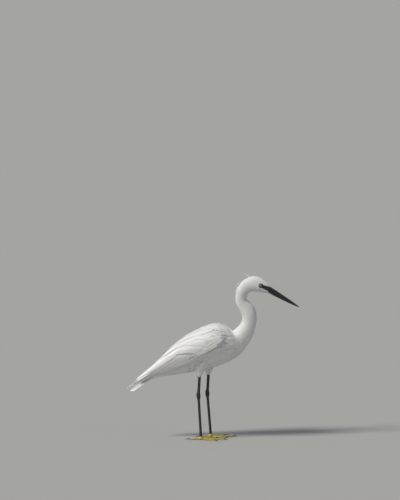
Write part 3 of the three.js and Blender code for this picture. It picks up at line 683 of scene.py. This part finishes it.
def lores_share(points):
    """1 on the bare skin between the eye and the bill, as seen from the side."""
    forward, up = head_place(points)
    high = np.interp(forward, [0, 8, 20], [4.0, 5.0, 7.6])
    low = np.interp(forward, [0, 8, 20], [-4.4, -3.2, -3.6])
    inside = np.minimum(np.minimum(high - up, up - low), forward - 0.5)
    return np.clip(inside / 1.2 + 0.5, 0, 1)


def wing_bed(handed):
    """The closed slab of a folded wing's flesh, which joins the skin."""
    along = np.linspace(WING_BED[0][0], WING_BED[-1][0], 26)
    low, high = read(smooth_table(WING_BED, 200), along)
    degrees = low[:, None] + (high - low)[:, None] * np.linspace(0, 1, 12)
    along = along[:, None] + 0 * degrees
    faces = [wing_points(handed, along, degrees, np.full_like(along, lift)) for lift in BED_DEPTHS]
    return sheet_of_vanes("wing_bed", np.stack(faces, 2)[None], {}, np.zeros((1, 2)), handed)


def joined_flesh():
    """Copies of the flesh solids and both wing beds as one mesh."""
    parts = [wing_bed(handed) for handed in SIDES.values()]
    for name in FLESH:
        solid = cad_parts[name].copy()
        solid.data = solid.data.copy()
        solid.parent = None
        for key in list(solid.keys()):
            del solid[key]
        bpy.context.scene.collection.objects.link(solid)
        parts.append(solid)
    deselect()
    for part in parts:
        part.select_set(True)
    bpy.context.view_layer.objects.active = parts[-1]
    bpy.ops.object.join()
    bpy.ops.object.mode_set(mode="EDIT")
    bpy.ops.mesh.select_all(action="SELECT")
    bpy.ops.mesh.remove_doubles(threshold=1e-5)
    bpy.ops.object.mode_set(mode="OBJECT")
    return named("skin")


class EGRET_OT_skin(bpy.types.Operator):
    """One skin under the whole coat, drawn in by the coat's depth."""

    bl_idname = "egret.skin"
    bl_label = "Skin"

    def execute(self, context):
        sizes = context.scene.egret_sizes
        deselect()
        skin = joined_flesh()
        remesh = skin.modifiers.new("one skin", "REMESH")
        remesh.mode, remesh.voxel_size = "VOXEL", sizes.skin_voxel
        smooth = skin.modifiers.new("soften", "SMOOTH")
        smooth.factor, smooth.iterations = 0.5, SMOOTHING
        apply_modifiers(skin)
        share = np.interp(lie_of_coat(vertices_of(skin))[1], COAT_DEEPENS, [0, 1])
        depth = sizes.head_coat + (sizes.body_coat - sizes.head_coat) * share
        coat = skin.vertex_groups.new(name="coat")
        for index, value in enumerate(depth / sizes.body_coat):
            coat.add([index], float(value), "REPLACE")
        drawn = skin.modifiers.new("under the coat", "DISPLACE")
        drawn.strength, drawn.mid_level, drawn.vertex_group = -sizes.body_coat, 0, "coat"
        apply_modifiers(skin)
        skin.vertex_groups.clear()
        for layer in list(skin.data.uv_layers):
            skin.data.uv_layers.remove(layer)
        mark(skin.data, "lores", lores_share(vertices_of(skin)))
        bpy.ops.object.shade_smooth()
        carry(skin, "bare_skin", "feathers", *FLESH)
        return {"FINISHED"}


def spread_out(points, gaps, order):
    """Keeps points, in that order, that are at least their own gap from those kept before them."""
    cells = {}
    places = np.floor(points / gaps.max()).astype(int)
    kept = []
    for i in order:
        x, y, z = places[i]
        around = [(x + dx, y + dy, z + dz) for dx in (-1, 0, 1) for dy in (-1, 0, 1) for dz in (-1, 0, 1)]
        near = [j for cell in around for j in cells.get(cell, ())]
        if near and ((points[near] - points[i]) ** 2).sum(1).min() < gaps[i] ** 2:
            continue
        kept.append(i)
        cells.setdefault((x, y, z), []).append(i)
    return np.array(kept)


def within(values, limits):
    return (values > limits[0]) & (values < limits[1])


def on_wing_bed(points):
    """Whether points lie on a wing's bed, how far along the body they are, and how many degrees up it."""
    along, high = body_place(points)
    top, bottom, level, side = read(FOLDED, along)
    up = (high - level) / np.where(high > level, top - level, level - bottom)
    out = np.abs(points[:, 1]) / side
    reach = out**WING_ROUNDNESS + np.abs(up) ** WING_ROUNDNESS
    degrees = np.degrees(np.arctan2(up, out))
    bedded = within(along, BED_ALONG) & within(degrees, BED_DEGREES) & (reach > BED_REACH)
    return bedded, along, degrees


def sample_skin(skin, sizes, rng):
    """Roots of the small feathers, with the skin's normals there, thinned so that they cover it evenly."""
    skin.data.calc_loop_triangles()
    triangles = np.array([t.vertices for t in skin.data.loop_triangles])
    a, b, c = vertices_of(skin)[triangles].transpose(1, 0, 2)
    crossed = np.cross(b - a, c - a)
    area = np.linalg.norm(crossed, axis=1)
    table = np.array(COAT_BY_PLACE, float)
    along = lie_of_coat((a + b + c) / 3)[1]
    length, width = (np.interp(along, table[:, 0], table[:, k]) for k in (1, 2))
    chance = area / (length * width)
    picked = rng.choice(len(area), ROOT_TRIES, p=chance / chance.sum())
    u, v = rng.random((2, len(picked)))
    folded = u + v > 1
    u[folded], v[folded] = 1 - u[folded], 1 - v[folded]
    roots = a[picked] + (b - a)[picked] * u[:, None] + (c - a)[picked] * v[:, None]
    normals = crossed[picked] / area[picked][:, None]
    gaps = np.sqrt(length[picked] * width[picked] / sizes.cover) * ROOT_SPACING
    keep = (lores_share(roots) < 0.5) & (np.hypot(*head_place(roots)) > EYE_CLEARANCE)
    kept = spread_out(roots, gaps, np.nonzero(keep)[0])
    return roots[kept], normals[kept]


def lay_on_skin(tree, roots, normals, lengths, rows, yaw):
    """The middle lines of feathers that follow the skin from their roots, and its normals along them."""
    lines, ups = [roots], [normals]
    here, up = roots, normals
    for _ in range(rows - 1):
        flow = lie_of_coat(here)[0]
        flow = unit(flow - (flow * up).sum(1, keepdims=True) * up)
        step = (flow + np.cross(up, flow) * yaw[:, None]) * (lengths / (rows - 1))[:, None]
        found = [tree.find_nearest(place(p)) for p in here + step]
        here = own(np.array([f[0] for f in found]))
        up = unit(0.5 * up + 0.5 * np.array([f[1] for f in found]))
        lines.append(here)
        ups.append(up)
    return np.stack(lines, 1), np.stack(ups, 1)


def parts_of_coat(roots):
    """The roots of each piece of the coat, their places along and round the bird, and which edge the wing."""
    _, along, around = lie_of_coat(roots)
    winged, wing_along, wing_degrees = on_wing_bed(roots)
    on_thigh = thigh_share(roots) > 0.35
    shown = ~(winged & (wing_along > UNDER_WING_FROM) & (wing_degrees < UNDER_WING_BELOW))
    # Feathers in front of the folded wing and just below it lie over its edge.
    before = np.clip((8 - wing_along) / 10, 0, 1) * np.clip((wing_along + 52) / 16, 0, 1)
    before *= within(wing_degrees, BEFORE_DEGREES)
    below = within(wing_along, BELOW_ALONG) & within(wing_degrees, BELOW_DEGREES)
    below = below * np.clip((BELOW_ALONG[1] - wing_along) / 30, 0, 1)
    elsewhere, on_body, above = shown & ~on_thigh, along >= NECK_END, np.sin(around) > 0.1
    parts = {
        "face_feathers": elsewhere & (along < FACE_END),
        "neck_feathers": elsewhere & (along >= FACE_END) & ~on_body,
        "breast_feathers": elsewhere & on_body & ~above,
        "back_feathers": elsewhere & on_body & above,
        "thigh_feathers": shown & on_thigh,
    }
    return parts, along, around, before, below


# The small feathers of each part of the bird: rows and columns of points in each, how ragged and blunt its
# tip is, how much it arches across, and its finish.
COATS = {
    "face_feathers": (4, 2, 0.12, 2.4, 0.0, "fine_feathers"),
    "neck_feathers": (5, 2, 0.12, 2.2, 0.0, "fine_feathers"),
    "breast_feathers": (6, 5, 0.11, 3.4, 0.35, "body_feathers"),
    "back_feathers": (6, 5, 0.11, 3.4, 0.35, "body_feathers"),
    "thigh_feathers": (5, 3, 0.12, 2.6, 0.2, "fine_feathers"),
}


def grow(tree, name, roots, normals, size, yaw, uv, rng):
    """One piece of small feathers. size is their length, width and height, and yaw how they turn aside."""
    rows, columns, ragged, blunt, camber, finish = COATS[name]
    lines, ups = lay_on_skin(tree, roots, normals, size[0], rows, yaw)
    # A feather that gets stuck in a fold of the skin, or turns back there, is left out.
    flow = np.gradient(lines, axis=1)
    free = np.linalg.norm(flow, axis=2).min(axis=1) > 0.4 * size[0] / (rows - 1)
    lines, ups, flow, uv, length, width, lift = (v[free] for v in (lines, ups, unit(flow), uv, *size))
    run, aside = np.linspace(0, 1, rows), np.linspace(-1, 1, columns)
    half = outline(rows, blunt) * width[:, None] / 2
    height = -ROOT_DEPTH + (lift * rng.uniform(0.85, 1.2, len(lines)))[:, None] * run**0.8
    height = height[:, :, None] - camber * aside**2
    fringe = rng.normal(0, ragged, (len(lines), 1, columns)) * (run**3)[:, None] * length[:, None, None]
    points = lines[:, :, None] + np.cross(ups, flow)[:, :, None] * half[:, :, None, None] * aside[:, None]
    points = points + ups[:, :, None] * height[..., None] + flow[:, :, None] * fringe[..., None]
    thick = np.interp(run, (0, 1), (ROOT_THICK, TIP_THICK))[:, None, None, None] * np.array([[-0.5], [0.5]])
    points = points[:, :, :, None] + ups[:, :, None, None] * thick
    attributes = vane_attributes(points, length, width, rng)
    carry(sheet_of_vanes(name, points, attributes, uv, ups=ups), finish, "feathers")


class EGRET_OT_coat(bpy.types.Operator):
    """The small feathers of the head, neck, body and thighs, rooted on the skin and lying along it."""

    bl_idname = "egret.coat"
    bl_label = "Small feathers"

    def execute(self, context):
        sizes = context.scene.egret_sizes
        rng = np.random.default_rng(sizes.seed)
        skin = bpy.data.objects["skin"]
        tree = BVHTree.FromObject(skin, context.evaluated_depsgraph_get())
        roots, normals = sample_skin(skin, sizes, rng)
        parts, along, around, before, below = parts_of_coat(roots)
        over = OVER_EDGE * np.maximum(before, below)
        turn = 0.30 * below * np.sign(roots[:, 1])
        uv = (np.column_stack([along, around]) / (520, 2 * math.pi) + (0, 0.5)) * 0.99
        table = np.array(COAT_BY_PLACE, float)
        for name in COATS:
            mine = parts[name]
            count = int(mine.sum())
            if not count:
                raise RuntimeError(f"{name} has no roots")
            length, width, lift = (np.interp(along[mine], table[:, 0], column) for column in table.T[1:])
            if name == "thigh_feathers":
                length, width, lift = (np.full(count, float(v)) for v in THIGH_COAT)
            length = length * rng.uniform(0.82, 1.15, count)
            width = width * rng.uniform(0.85, 1.1, count)
            yaw = rng.normal(0, 0.06, count) + turn[mine]
            size = (length, width, lift + over[mine])
            grow(tree, name, roots[mine], normals[mine], size, yaw, uv[mine], rng)
        return {"FINISHED"}


# Loose plumes at the back of the head, in the bird's own frame: root, tip, how many, and how far they stray.
PLUMES = [
    ((82, 0, 378), (67, 0, 388.5), 10, 0.8),
    ((66, 0, 373), (49, 0, 361), 12, 1.2),
]


class EGRET_OT_plumes(bpy.types.Operator):
    """The short loose plumes of the crown and nape, which stand a little off them."""

    bl_idname = "egret.plumes"
    bl_label = "Nape plumes"

    def execute(self, context):
        rng = np.random.default_rng(context.scene.egret_sizes.seed + 3)
        rows, columns = 9, 3
        roots, tips = [], []
        for root, tip, count, stray in PLUMES:
            shift = rng.normal(0, 1, (count, 1)) * np.array([0.3, 1.3, 0.3])
            roots.append(root + shift + rng.normal(0, 0.7, (count, 3)))
            tips.append(tip + shift * 0.6 + rng.normal(0, stray, (count, 3)))
        roots, tips = np.concatenate(roots), np.concatenate(tips)
        count = len(roots)
        run = np.linspace(0, 1, rows)
        lines = roots[:, None] + (tips - roots)[:, None] * run[:, None]
        lines[..., 2] += 1.6 * np.sin(math.pi * run) * rng.uniform(0.5, 1.2, (count, 1))
        flow = unit(np.gradient(lines, axis=1))
        across = np.cross(flow, (0, 1, 0)) * 0.6 + (0, 0.8, 0)
        ups = np.cross(flow, across)
        half = 0.8 * outline(rows, 2.0, 0.1)[:, None, None] * np.linspace(-1, 1, columns)[:, None]
        points = (lines[:, :, None] + across[:, :, None] * half)[:, :, :, None]
        points = points + ups[:, :, None, None] * np.array([[-0.14], [0.14]])
        attributes = vane_attributes(points, 18.0, 1.1, rng)
        uv = np.column_stack([np.full(count, 0.1), rng.uniform(0.6, 0.9, count)])
        carry(sheet_of_vanes("nape_plumes", points, attributes, uv), "fine_feathers", "feathers")
        return {"FINISHED"}


def wing_row(handed, row, rng):
    """One row of wing feathers, the length and width of each, and where it is rooted."""
    count, first_root, last_root, first_tip, last_tip, wide, (low, high), step, blunt = row
    rows, columns = 13, 9
    roots, tips = np.linspace(first_root, last_root, count), np.linspace(first_tip, last_tip, count)
    tips[:, 0] += rng.normal(0, 1.2, count)
    run = 1 - (1 - np.linspace(0, 1, rows)[:, None]) ** 1.25
    middle = roots[:, None] + (tips - roots)[:, None] * run
    aside = np.linspace(-1, 1, columns)
    length = np.abs(tips[:, 0] - roots[:, 0])
    width = wide * rng.uniform(0.94, 1.05, count)
    half = outline(rows, blunt, 0.16)[:, None] * width[:, None, None] / 2 * aside
    top, _, level, side = read(FOLDED, middle[..., :1])
    degrees = middle[..., 1:] + np.degrees(2 * half / (side + top - level))
    notch = rng.normal(0, 0.012, (count, 1, columns)) * run**6 * length[:, None, None]
    along = middle[..., :1] + notch - 0.10 * np.abs(half) * run**2
    rise = low + (high - low) * (1 - (1 - run) ** 3.2)
    height = rise + np.arange(count)[:, None, None] * step - 0.10 * half - 0.3 * aside**2
    faces = [wing_points(handed, along, degrees, height + face * (0.28 - 0.14 * run)) for face in (-1, 1)]
    return np.stack(faces, 3), length, width, roots


class EGRET_OT_wings(bpy.types.Operator):
    """Both folded wings: flight feathers, three rows of coverts and the scapulars over them."""

    bl_idname = "egret.wings"
    bl_label = "Folded wings"

    def execute(self, context):
        rng = np.random.default_rng(context.scene.egret_sizes.seed + 1)
        for side, handed in SIDES.items():
            made = [wing_row(handed, row, rng) for row in WING_ROWS.values()]
            points, lengths, widths, roots = (np.concatenate(parts) for parts in zip(*made))
            attributes = vane_attributes(points, lengths, widths, rng)
            uv = (roots + (40, 0)) / (300, 400) + (0, 0.25 if handed > 0 else 0.75)
            wing = sheet_of_vanes(f"{side}_wing_feathers", points, attributes, uv, handed)
            carry(wing, "wing_feathers", "feathers", f"wing_{side}")
        return {"FINISHED"}


def tail_coverts(name, rng):
    """The rows of soft feathers that carry the body's lines on over the root of the tail."""
    shape, covert_rows = TAIL_COVERTS[name]
    table = smooth_table(shape, 200)
    sign = 1 if name == "upper" else -1
    rows, columns = 9, 7
    run, aside = np.linspace(0, 1, rows)[:, None], np.linspace(-1, 1, columns)
    half = outline(rows, 2.8, 0.16)[:, None] * 3.9 * aside
    points, roots = [], []
    for layer, (root, tip, count) in enumerate(covert_rows):
        ends = tip + rng.normal(0, 2.0, count)[:, None, None]
        along = root + (ends - root) * run + 0 * aside
        crown, level, side = read(table, along)
        places = np.linspace(-68, 68, count) + rng.normal(0, 2.5, count)
        turn = np.radians(places)[:, None, None] - sign * half / side
        faces = []
        for face in (-1, 1):
            out = -1.4 + (1.7 + 0.12 * layer) * run**0.7 - 0.25 * aside**2 + face * (0.24 - 0.12 * run)
            high = level + (crown - level + sign * out) * np.cos(turn)
            faces.append(body_points(along, high, (side + out) * np.sin(turn)))
        points.append(np.stack(faces, 3))
        roots.append(np.column_stack([np.full(count, root / 230.0), 0.5 + sign * 0.2 + places / 900]))
    points = np.concatenate(points)
    attributes = vane_attributes(points, 40.0, 7.8, rng)
    return sheet_of_vanes(f"{name}_tail_coverts", points, attributes, np.concatenate(roots))


class EGRET_OT_tail(bpy.types.Operator):
    """The tail feathers, the middle pair on top, and the soft coverts over and under their roots."""

    bl_idname = "egret.tail"
    bl_label = "Tail"

    def execute(self, context):
        rng = np.random.default_rng(context.scene.egret_sizes.seed + 2)
        count, rows, columns = TAIL_FEATHERS, 13, 9
        middles = np.linspace(-1, 1, count)[:, None, None]
        run, aside = np.linspace(0, 1, rows)[:, None], np.linspace(-1, 1, columns)
        half = outline(rows, 8.0, 0.2)[:, None] * TAIL_FEATHER_WIDTH / 2 * aside
        tips = TAIL_TIP - 5 * middles**2 + rng.normal(0, 0.6, count)[:, None, None]
        root = TAIL_ROOT - 6
        along = root + (tips - root) * run - 0.12 * np.abs(half) * run**3
        left = middles * (5 + (TAIL_SPREAD - 5) * run) + half
        fall = (TAIL_HEIGHTS[1] - TAIL_HEIGHTS[0]) / (TAIL_TIP - TAIL_ROOT)
        height = TAIL_HEIGHTS[0] + fall * (along - TAIL_ROOT)
        height -= 4.6 * np.abs(middles) * (0.5 + 0.5 * run)
        height -= 0.11 * half * np.sign(middles) + 0.3 * aside**2
        faces = [body_points(along, height + side * (0.32 - 0.16 * run), left) for side in (-1, 1)]
        points = np.stack(faces, 3)
        attributes = vane_attributes(points, 75.0, TAIL_FEATHER_WIDTH, rng)
        uv = np.column_stack([np.full(count, 0.99), 0.5 + middles[:, 0, 0] * 0.05]) - 0.004
        tail = sheet_of_vanes("tail_feathers", points, attributes, uv, handed=-1)
        carry(tail, "wing_feathers", "feathers", "tail")
        for name in TAIL_COVERTS:
            carry(tail_coverts(name, rng), "body_feathers", "feathers")
        return {"FINISHED"}


# The gap between the halves of the bill, and the radius of the rounded rim of a lid, in millimetres.
MOUTH_GAP, LID_RIM_RADIUS = 0.24, 1.05


class EGRET_OT_bill(bpy.types.Operator):
    """The dagger bill: a drawn-out form for each half, cut along the mouth, with a groove to each nostril."""

    bl_idname = "egret.bill"
    bl_label = "Bill"

    def execute(self, context):
        at = Vector(place([EYE_X, 0, EYE_Z]))
        start, rear = BILL[0][0], BILL[0][2]
        slope = (BILL[-1][2] - rear) / (BILL[-1][0] - start)
        for half, handed in (("upper", 1), ("lower", -1)):
            stations = []
            for forward, ridge, mouth, under, side in BILL:
                depth = (ridge - mouth) if handed > 0 else (mouth - under)
                stations.append(((forward * MM, 0, mouth * MM), (side * MM, depth * MM)))
            bill = extruded(f"{half}_bill", stations, 20, "X")
            for vertex in bill.data.vertices:
                self.shape(vertex, handed)
            middle = Vector((start, 0, rear + handed * MOUTH_GAP / 2)) * MM
            cut(bill, middle, Vector((-slope, 0, 1)).normalized() * handed)
            settle(bill, at, (0, HEAD_SLOPE, 0))
            bpy.ops.object.shade_smooth_by_angle(angle=math.radians(50))
            forward, up = head_place(vertices_of(bill))
            under = np.interp(up, [-5.2, -3.4], [1, 0]) if handed < 0 else 0 * up
            mark(bill.data, "pale", under * np.interp(forward, [22, 40], [1, 0]))
            carry(bill, "bill_horn", "bill", f"bill_{half}")
        return {"FINISHED"}

    @staticmethod
    def shape(vertex, handed):
        """Presses in the long groove that holds the nostril, on the upper half."""
        x, y, z = (c / MM for c in vertex.co)
        mouth = float(np.interp(x, [row[0] for row in BILL], [row[2] for row in BILL]))
        if z > mouth and handed > 0:
            depth = float(np.interp(x, [18, 26, 50, 66], [0, 1, 0.6, 0]))
            groove = depth * math.exp(-(((z - 3.3 + (x - 30) * 0.06) / 0.9) ** 2))
            nostril = math.exp(-(((z - 3.2) / 0.7) ** 2) - ((x - 33) / 3.2) ** 2)
            y -= math.copysign(min(0.75 * groove + 1.1 * nostril, abs(y) * 0.6), y)
            vertex.co = Vector((x, y, z)) * MM


class EGRET_OT_eyes(bpy.types.Operator):
    """The eyes, each in a ring of dark lids."""

    bl_idname = "egret.eyes"
    bl_label = "Eyes"

    def execute(self, context):
        sizes = context.scene.egret_sizes
        for side, handed in SIDES.items():
            middle = middle_of(f"eye_{side}")
            deselect()
            bpy.ops.mesh.primitive_uv_sphere_add(segments=48, ring_count=32, radius=EYE_RADIUS * MM)
            eye = named(f"{side}_eye")
            settle(eye, (0, 0, 0), (math.pi / 2, 0, 0))
            eye.scale = (1, 1.02, 1)
            settle(eye, middle)
            bpy.ops.object.shade_smooth()
            carry(eye, "eye", "iris", f"eye_{side}")
            deselect()
            ring = {"major_radius": sizes.lid_ring, "minor_radius": LID_RIM_RADIUS * MM}
            bpy.ops.mesh.primitive_torus_add(major_segments=64, minor_segments=14, **ring)
            lids = named(f"{side}_lids")
            settle(lids, (0, 0, 0), (math.pi / 2, 0, 0))
            for vertex in lids.data.vertices:
                x, y, z = vertex.co
                rise = math.sqrt(x * x + z * z) / sizes.lid_ring
                outward = handed * (0.0028 - 0.0011 * rise)
                vertex.co = (x * 1.04, y * 0.9 + outward, z * 0.96 if z > 0 else z * 0.92)
            settle(lids, middle)
            bpy.ops.object.shade_smooth()
            carry(lids, "lid_skin", "bill")
        return {"FINISHED"}


# Legs, in the bird's own frame: the same places as the solids.
FOOT = {"left": (-12.0, 23.0, -20.0), "right": (-35.0, -23.0, -41.0)}
HOCK_HEIGHT, HOCK_ASIDE, SHANK_TOP, FOOT_TURN_OUT = 104.0, 22.0, 158.0, 7.0
# The knob where the toes meet: heights and radii from the top down. Soles are cut flat just above the floor.
FOOT_PAD = ((8.4, 3.7), (6.6, 4.8), (4.6, 6.0), (2.6, 6.6), (1.0, 6.4), (0.1, 5.6))
SOLE = 0.05
# The thick of the hock: heights over its middle, and half sizes from front to back and across.
HOCK_KNOB = ((6.5, 4.2, 3.4), (4, 5.0, 3.9), (0, 5.2, 4.1), (-4, 4.8, 3.7), (-7.5, 3.9, 3.1))
SHANK_RINGS, TARSUS_PLATES, PLATE_PITCH = 14, 26, 2.1
TOES = {
    "inner": dict(turn=-33, length=39, joints=3, radius=2.7, claw=9.5),
    "middle": dict(turn=-2, length=54, joints=4, radius=2.9, claw=10.5),
    "outer": dict(turn=31, length=44, joints=5, radius=2.6, claw=9),
    "hind": dict(turn=172, length=26, joints=2, radius=2.6, claw=12.5),
}


def leg_stations(side):
    """Down the leg from inside the thigh to the foot, with a low step at each plate on its front."""
    foot_x, foot_y, hock_x = FOOT[side]
    hock = np.array([hock_x, SIDES[side] * HOCK_ASIDE, HOCK_HEIGHT])
    top = hock + [3, 0, SHANK_TOP - HOCK_HEIGHT]
    foot = np.array([foot_x, foot_y, 5.0])
    stations = []

    def add(share, start, end, front, wide):
        stations.append((start + (end - start) * share, (front, wide)))

    for i in range(SHANK_RINGS):
        wave = 1 + 0.012 * (i % 2)
        add(i / (SHANK_RINGS + 2), top, hock, 3.4 * wave, 3.0 * wave)
    for rise, front, wide in HOCK_KNOB:
        stations.append((hock + [rise * -0.04, 0, rise], (front, wide)))
    for i in range(TARSUS_PLATES):
        for step, size in ((0.15, 0.965), (0.35, 1.02), (0.85, 1.0)):
            share = 0.1 + 0.86 * (i + step) / TARSUS_PLATES
            flare = 1 + 0.28 * max(0, share * 8 - 7)
            add(share, hock, foot, 3.1 * size * flare, 2.6 * size * flare)
    stations.append((foot + [0, 0, -2.5], (3.2, 3.2)))
    return [(place(middle), (a * MM, b * MM)) for middle, (a, b) in stations]


def toe_piece(name, form):
    """A toe along +X with pads under its joints and plates over it, flat where it meets the floor."""
    start, end, radius = 2.0, form["length"], form["radius"]
    plates = int((end - start) / PLATE_PITCH)
    stations = []
    for i in range(plates + 1):
        for step, size in ((0.0, 0.94), (0.3, 1.02), (0.8, 1.0)):
            share = min((i + step) / plates, 1.0)
            pads = 1 + 0.13 * math.cos(share * form["joints"] * 2 * math.pi)
            reach = radius * (1 - 0.38 * share) * pads * size * (0.8 if share >= 1 else 1)
            if stations and share <= stations[-1][2]:
                continue
            middle = (start + (end - start) * share, 0, reach * 0.86)
            stations.append((middle, (reach, reach), share))
    stations = [(Vector(m) * MM, (a * MM, b * MM)) for m, (a, b), _ in stations]
    toe = extruded(name, stations, 10, "X")
    cut(toe, (0, 0, SOLE * MM), (0, 0, 1))
    return toe


def claw_piece(name, form):
    """A claw that goes on from its toe and curves down to the floor."""
    root = form["radius"] * 0.62
    stations = []
    for i in range(9):
        share = i / 8
        size = root * 0.78 * (1 - share) ** 0.8 + 0.14
        height = root * 1.25 + 0.6 * math.sin(share * math.pi * 0.8) - (root * 1.25 - 0.35) * share**1.8
        middle = (form["length"] - 1.2 + (form["claw"] + 1.2) * share, 0, height)
        stations.append((Vector(middle) * MM, (size * 0.72 * MM, size * MM)))
    claw = extruded(name, stations, 10, "X")
    cut(claw, (0, 0, SOLE * MM), (0, 0, 1))
    return claw


class EGRET_OT_legs(bpy.types.Operator):
    """Bare black legs with plates, and yellow feet with dark claws."""

    bl_idname = "egret.legs"
    bl_label = "Legs and feet"

    def execute(self, context):
        for side, handed in SIDES.items():
            leg = extruded(f"{side}_leg", leg_stations(side), 16, "Z")
            carry(leg, "leg_scales", "leg_skin", f"shank_{side}", f"tarsus_{side}")
            x, y, _ = FOOT[side]
            at = Vector(place([x, y, 0]))
            outward = handed * math.radians(FOOT_TURN_OUT)
            stations = [((0, 0, h * MM), (r * MM, r * 0.95 * MM)) for h, r in FOOT_PAD]
            foot = settle(extruded(f"{side}_foot", stations, 20, "Z"), at)
            carry(foot, "toe_scales", "toe_skin", f"foot_{side}")
            for name, form in TOES.items():
                turn = (0, 0, outward + handed * math.radians(form["turn"]))
                toe = settle(toe_piece(f"{side}_{name}_toe", form), at, turn)
                carry(toe, "toe_scales", "toe_skin", f"toe_{side}_{name}")
                claw = settle(claw_piece(f"{side}_{name}_claw", form), at, turn)
                carry(claw, "claw_horn", "claw", f"claw_{side}_{name}")
        return {"FINISHED"}


class EGRET_OT_materials(bpy.types.Operator):
    """Every finish on the bird."""

    bl_idname = "egret.materials"
    bl_label = "Finishes"

    def execute(self, context):
        colours = context.scene.egret_colours
        barbs, mottle = barbs_group(), mottle_group()
        # The next to last number is how strongly painted shade darkens each kind of feather towards its
        # roots.
        feather_material("body_feathers", barbs, 0.7, 0.45, colours, 0.22, 0.12)
        feather_material("fine_feathers", barbs, 0.8, 0.2, colours, 0.12, 0.0)
        feather_material("wing_feathers", barbs, 0.6, 0.7, colours, 0.2, 0.8)
        skin_material(mottle, colours)
        eye_material(colours)
        bill, claw, lores, leg, toe = colours.bill, colours.claw, colours.lores, colours.leg, colours.toe
        bare_material("bill_horn", mottle, bill, shade(bill, 0.6), 0.42, 0.15, 0.009, root=colours.bill_base)
        bare_material("lid_skin", mottle, shade(lores, 0.5), shade(lores, 0.3), 0.5, 0.1, 0.002)
        bare_material("claw_horn", mottle, claw, shade(claw, 0.6), 0.4, 0.3, 0.003)
        scale_material("leg_scales", mottle, leg, shade(leg, 1.6))
        scale_material("toe_scales", mottle, toe, shade(toe, 0.6))
        return {"FINISHED"}


# The room's colours at the horizon and above it, the side of the floor in metres, and each light: where it
# comes from, how many degrees wide it is, and its colour.
HORIZON, SKY, FLOOR_SIDE = (1.38, 1.38, 1.36), (0.93, 0.98, 1.05), 400
LIGHTS = {
    "key": ((-0.66, -0.36, 0.66), 16, (1.0, 0.97, 0.915)),
    "fill": ((0.75, -0.8, 0.25), 50, (0.85, 0.92, 1.0)),
}


class EGRET_OT_studio(bpy.types.Operator):
    """A plain pale floor, soft light from the upper left, and a camera level with the bird's side."""

    bl_idname = "egret.studio"
    bl_label = "Studio"

    def execute(self, context):
        studio, colours = context.scene.egret_studio, context.scene.egret_colours
        deselect()
        bpy.ops.mesh.primitive_plane_add(size=FLOOR_SIDE)
        floor = named("floor")
        tree, shader = new_material("studio_floor")
        share = times(tree, noise(tree, coordinates(tree), 3.0, 4.0), 0.25)
        colour = mixed(tree, share, colours.floor, shade(colours.floor, 0.93))
        feed(tree, shader, {"Base Color": colour, "Roughness": 0.9})
        floor.data.materials.append(bpy.data.materials["studio_floor"])

        world = bpy.data.worlds.new("soft_room")
        world.use_nodes = True
        sky = world.node_tree
        upward = node(sky, "ShaderNodeSeparateXYZ", {"Vector": coordinates(sky, "Generated")})
        horizon, above = (shade(colour, studio.room) for colour in (HORIZON, SKY))
        glow = mixed(sky, ramp(sky, upward.outputs["Z"], 0.0, 0.35), horizon, above)
        feed(sky, sky.nodes["Background"], {"Color": glow})
        context.scene.world = world
        for name, (direction, softness, colour) in LIGHTS.items():
            light = bpy.data.lights.new(f"{name}_light", "SUN")
            light.energy, light.angle, light.color = getattr(studio, name), math.radians(softness), colour
            lamp = bpy.data.objects.new(light.name, light)
            lamp.rotation_euler = Vector(direction).to_track_quat("Z", "Y").to_euler()
            context.scene.collection.objects.link(lamp)

        aim = Vector((studio.aim_x, 0, studio.aim_z)) + SHIFT
        camera = bpy.data.objects.new("camera", bpy.data.cameras.new("camera"))
        camera.data.lens, camera.data.sensor_width = studio.lens, 36
        camera.data.clip_end = 1.5 * FLOOR_SIDE
        back = Vector((0, -math.cos(studio.height), math.sin(studio.height)))
        camera.location = aim + back * studio.distance
        camera.rotation_euler = back.to_track_quat("Z", "Y").to_euler()
        context.scene.collection.objects.link(camera)
        context.scene.camera = camera
        context.scene.view_settings.view_transform = "Standard"
        return {"FINISHED"}


class EGRET_PT_panel(bpy.types.Panel):
    """Sizes, colours and steps of the egret."""

    bl_label = "Little Egret"
    bl_space_type = "VIEW_3D"
    bl_region_type = "UI"
    bl_category = "Egret"

    def draw(self, context):
        for settings in (context.scene.egret_sizes, context.scene.egret_colours, context.scene.egret_studio):
            box = self.layout.box()
            for key in settings.__annotations__:
                box.prop(settings, key)
        for step in STEPS:
            self.layout.operator(step.bl_idname)


STEPS = (
    EGRET_OT_materials,
    EGRET_OT_skin,
    EGRET_OT_coat,
    EGRET_OT_plumes,
    EGRET_OT_wings,
    EGRET_OT_tail,
    EGRET_OT_bill,
    EGRET_OT_eyes,
    EGRET_OT_legs,
    EGRET_OT_studio,
)
SETTINGS = {"egret_sizes": EgretSizes, "egret_colours": EgretColours, "egret_studio": EgretStudio}


def register():
    for made in (*SETTINGS.values(), *STEPS, EGRET_PT_panel):
        bpy.utils.register_class(made)
    for key, made in SETTINGS.items():
        setattr(bpy.types.Scene, key, PointerProperty(type=made))


def unregister():
    for key in SETTINGS:
        delattr(bpy.types.Scene, key)
    for made in (EGRET_PT_panel, *reversed(STEPS), *SETTINGS.values()):
        bpy.utils.unregister_class(made)


def main():
    register()
    for step in STEPS:
        area, name = step.bl_idname.split(".")
        getattr(getattr(bpy.ops, area), name)()
    deselect()


if __name__ == "__main__":
    main()
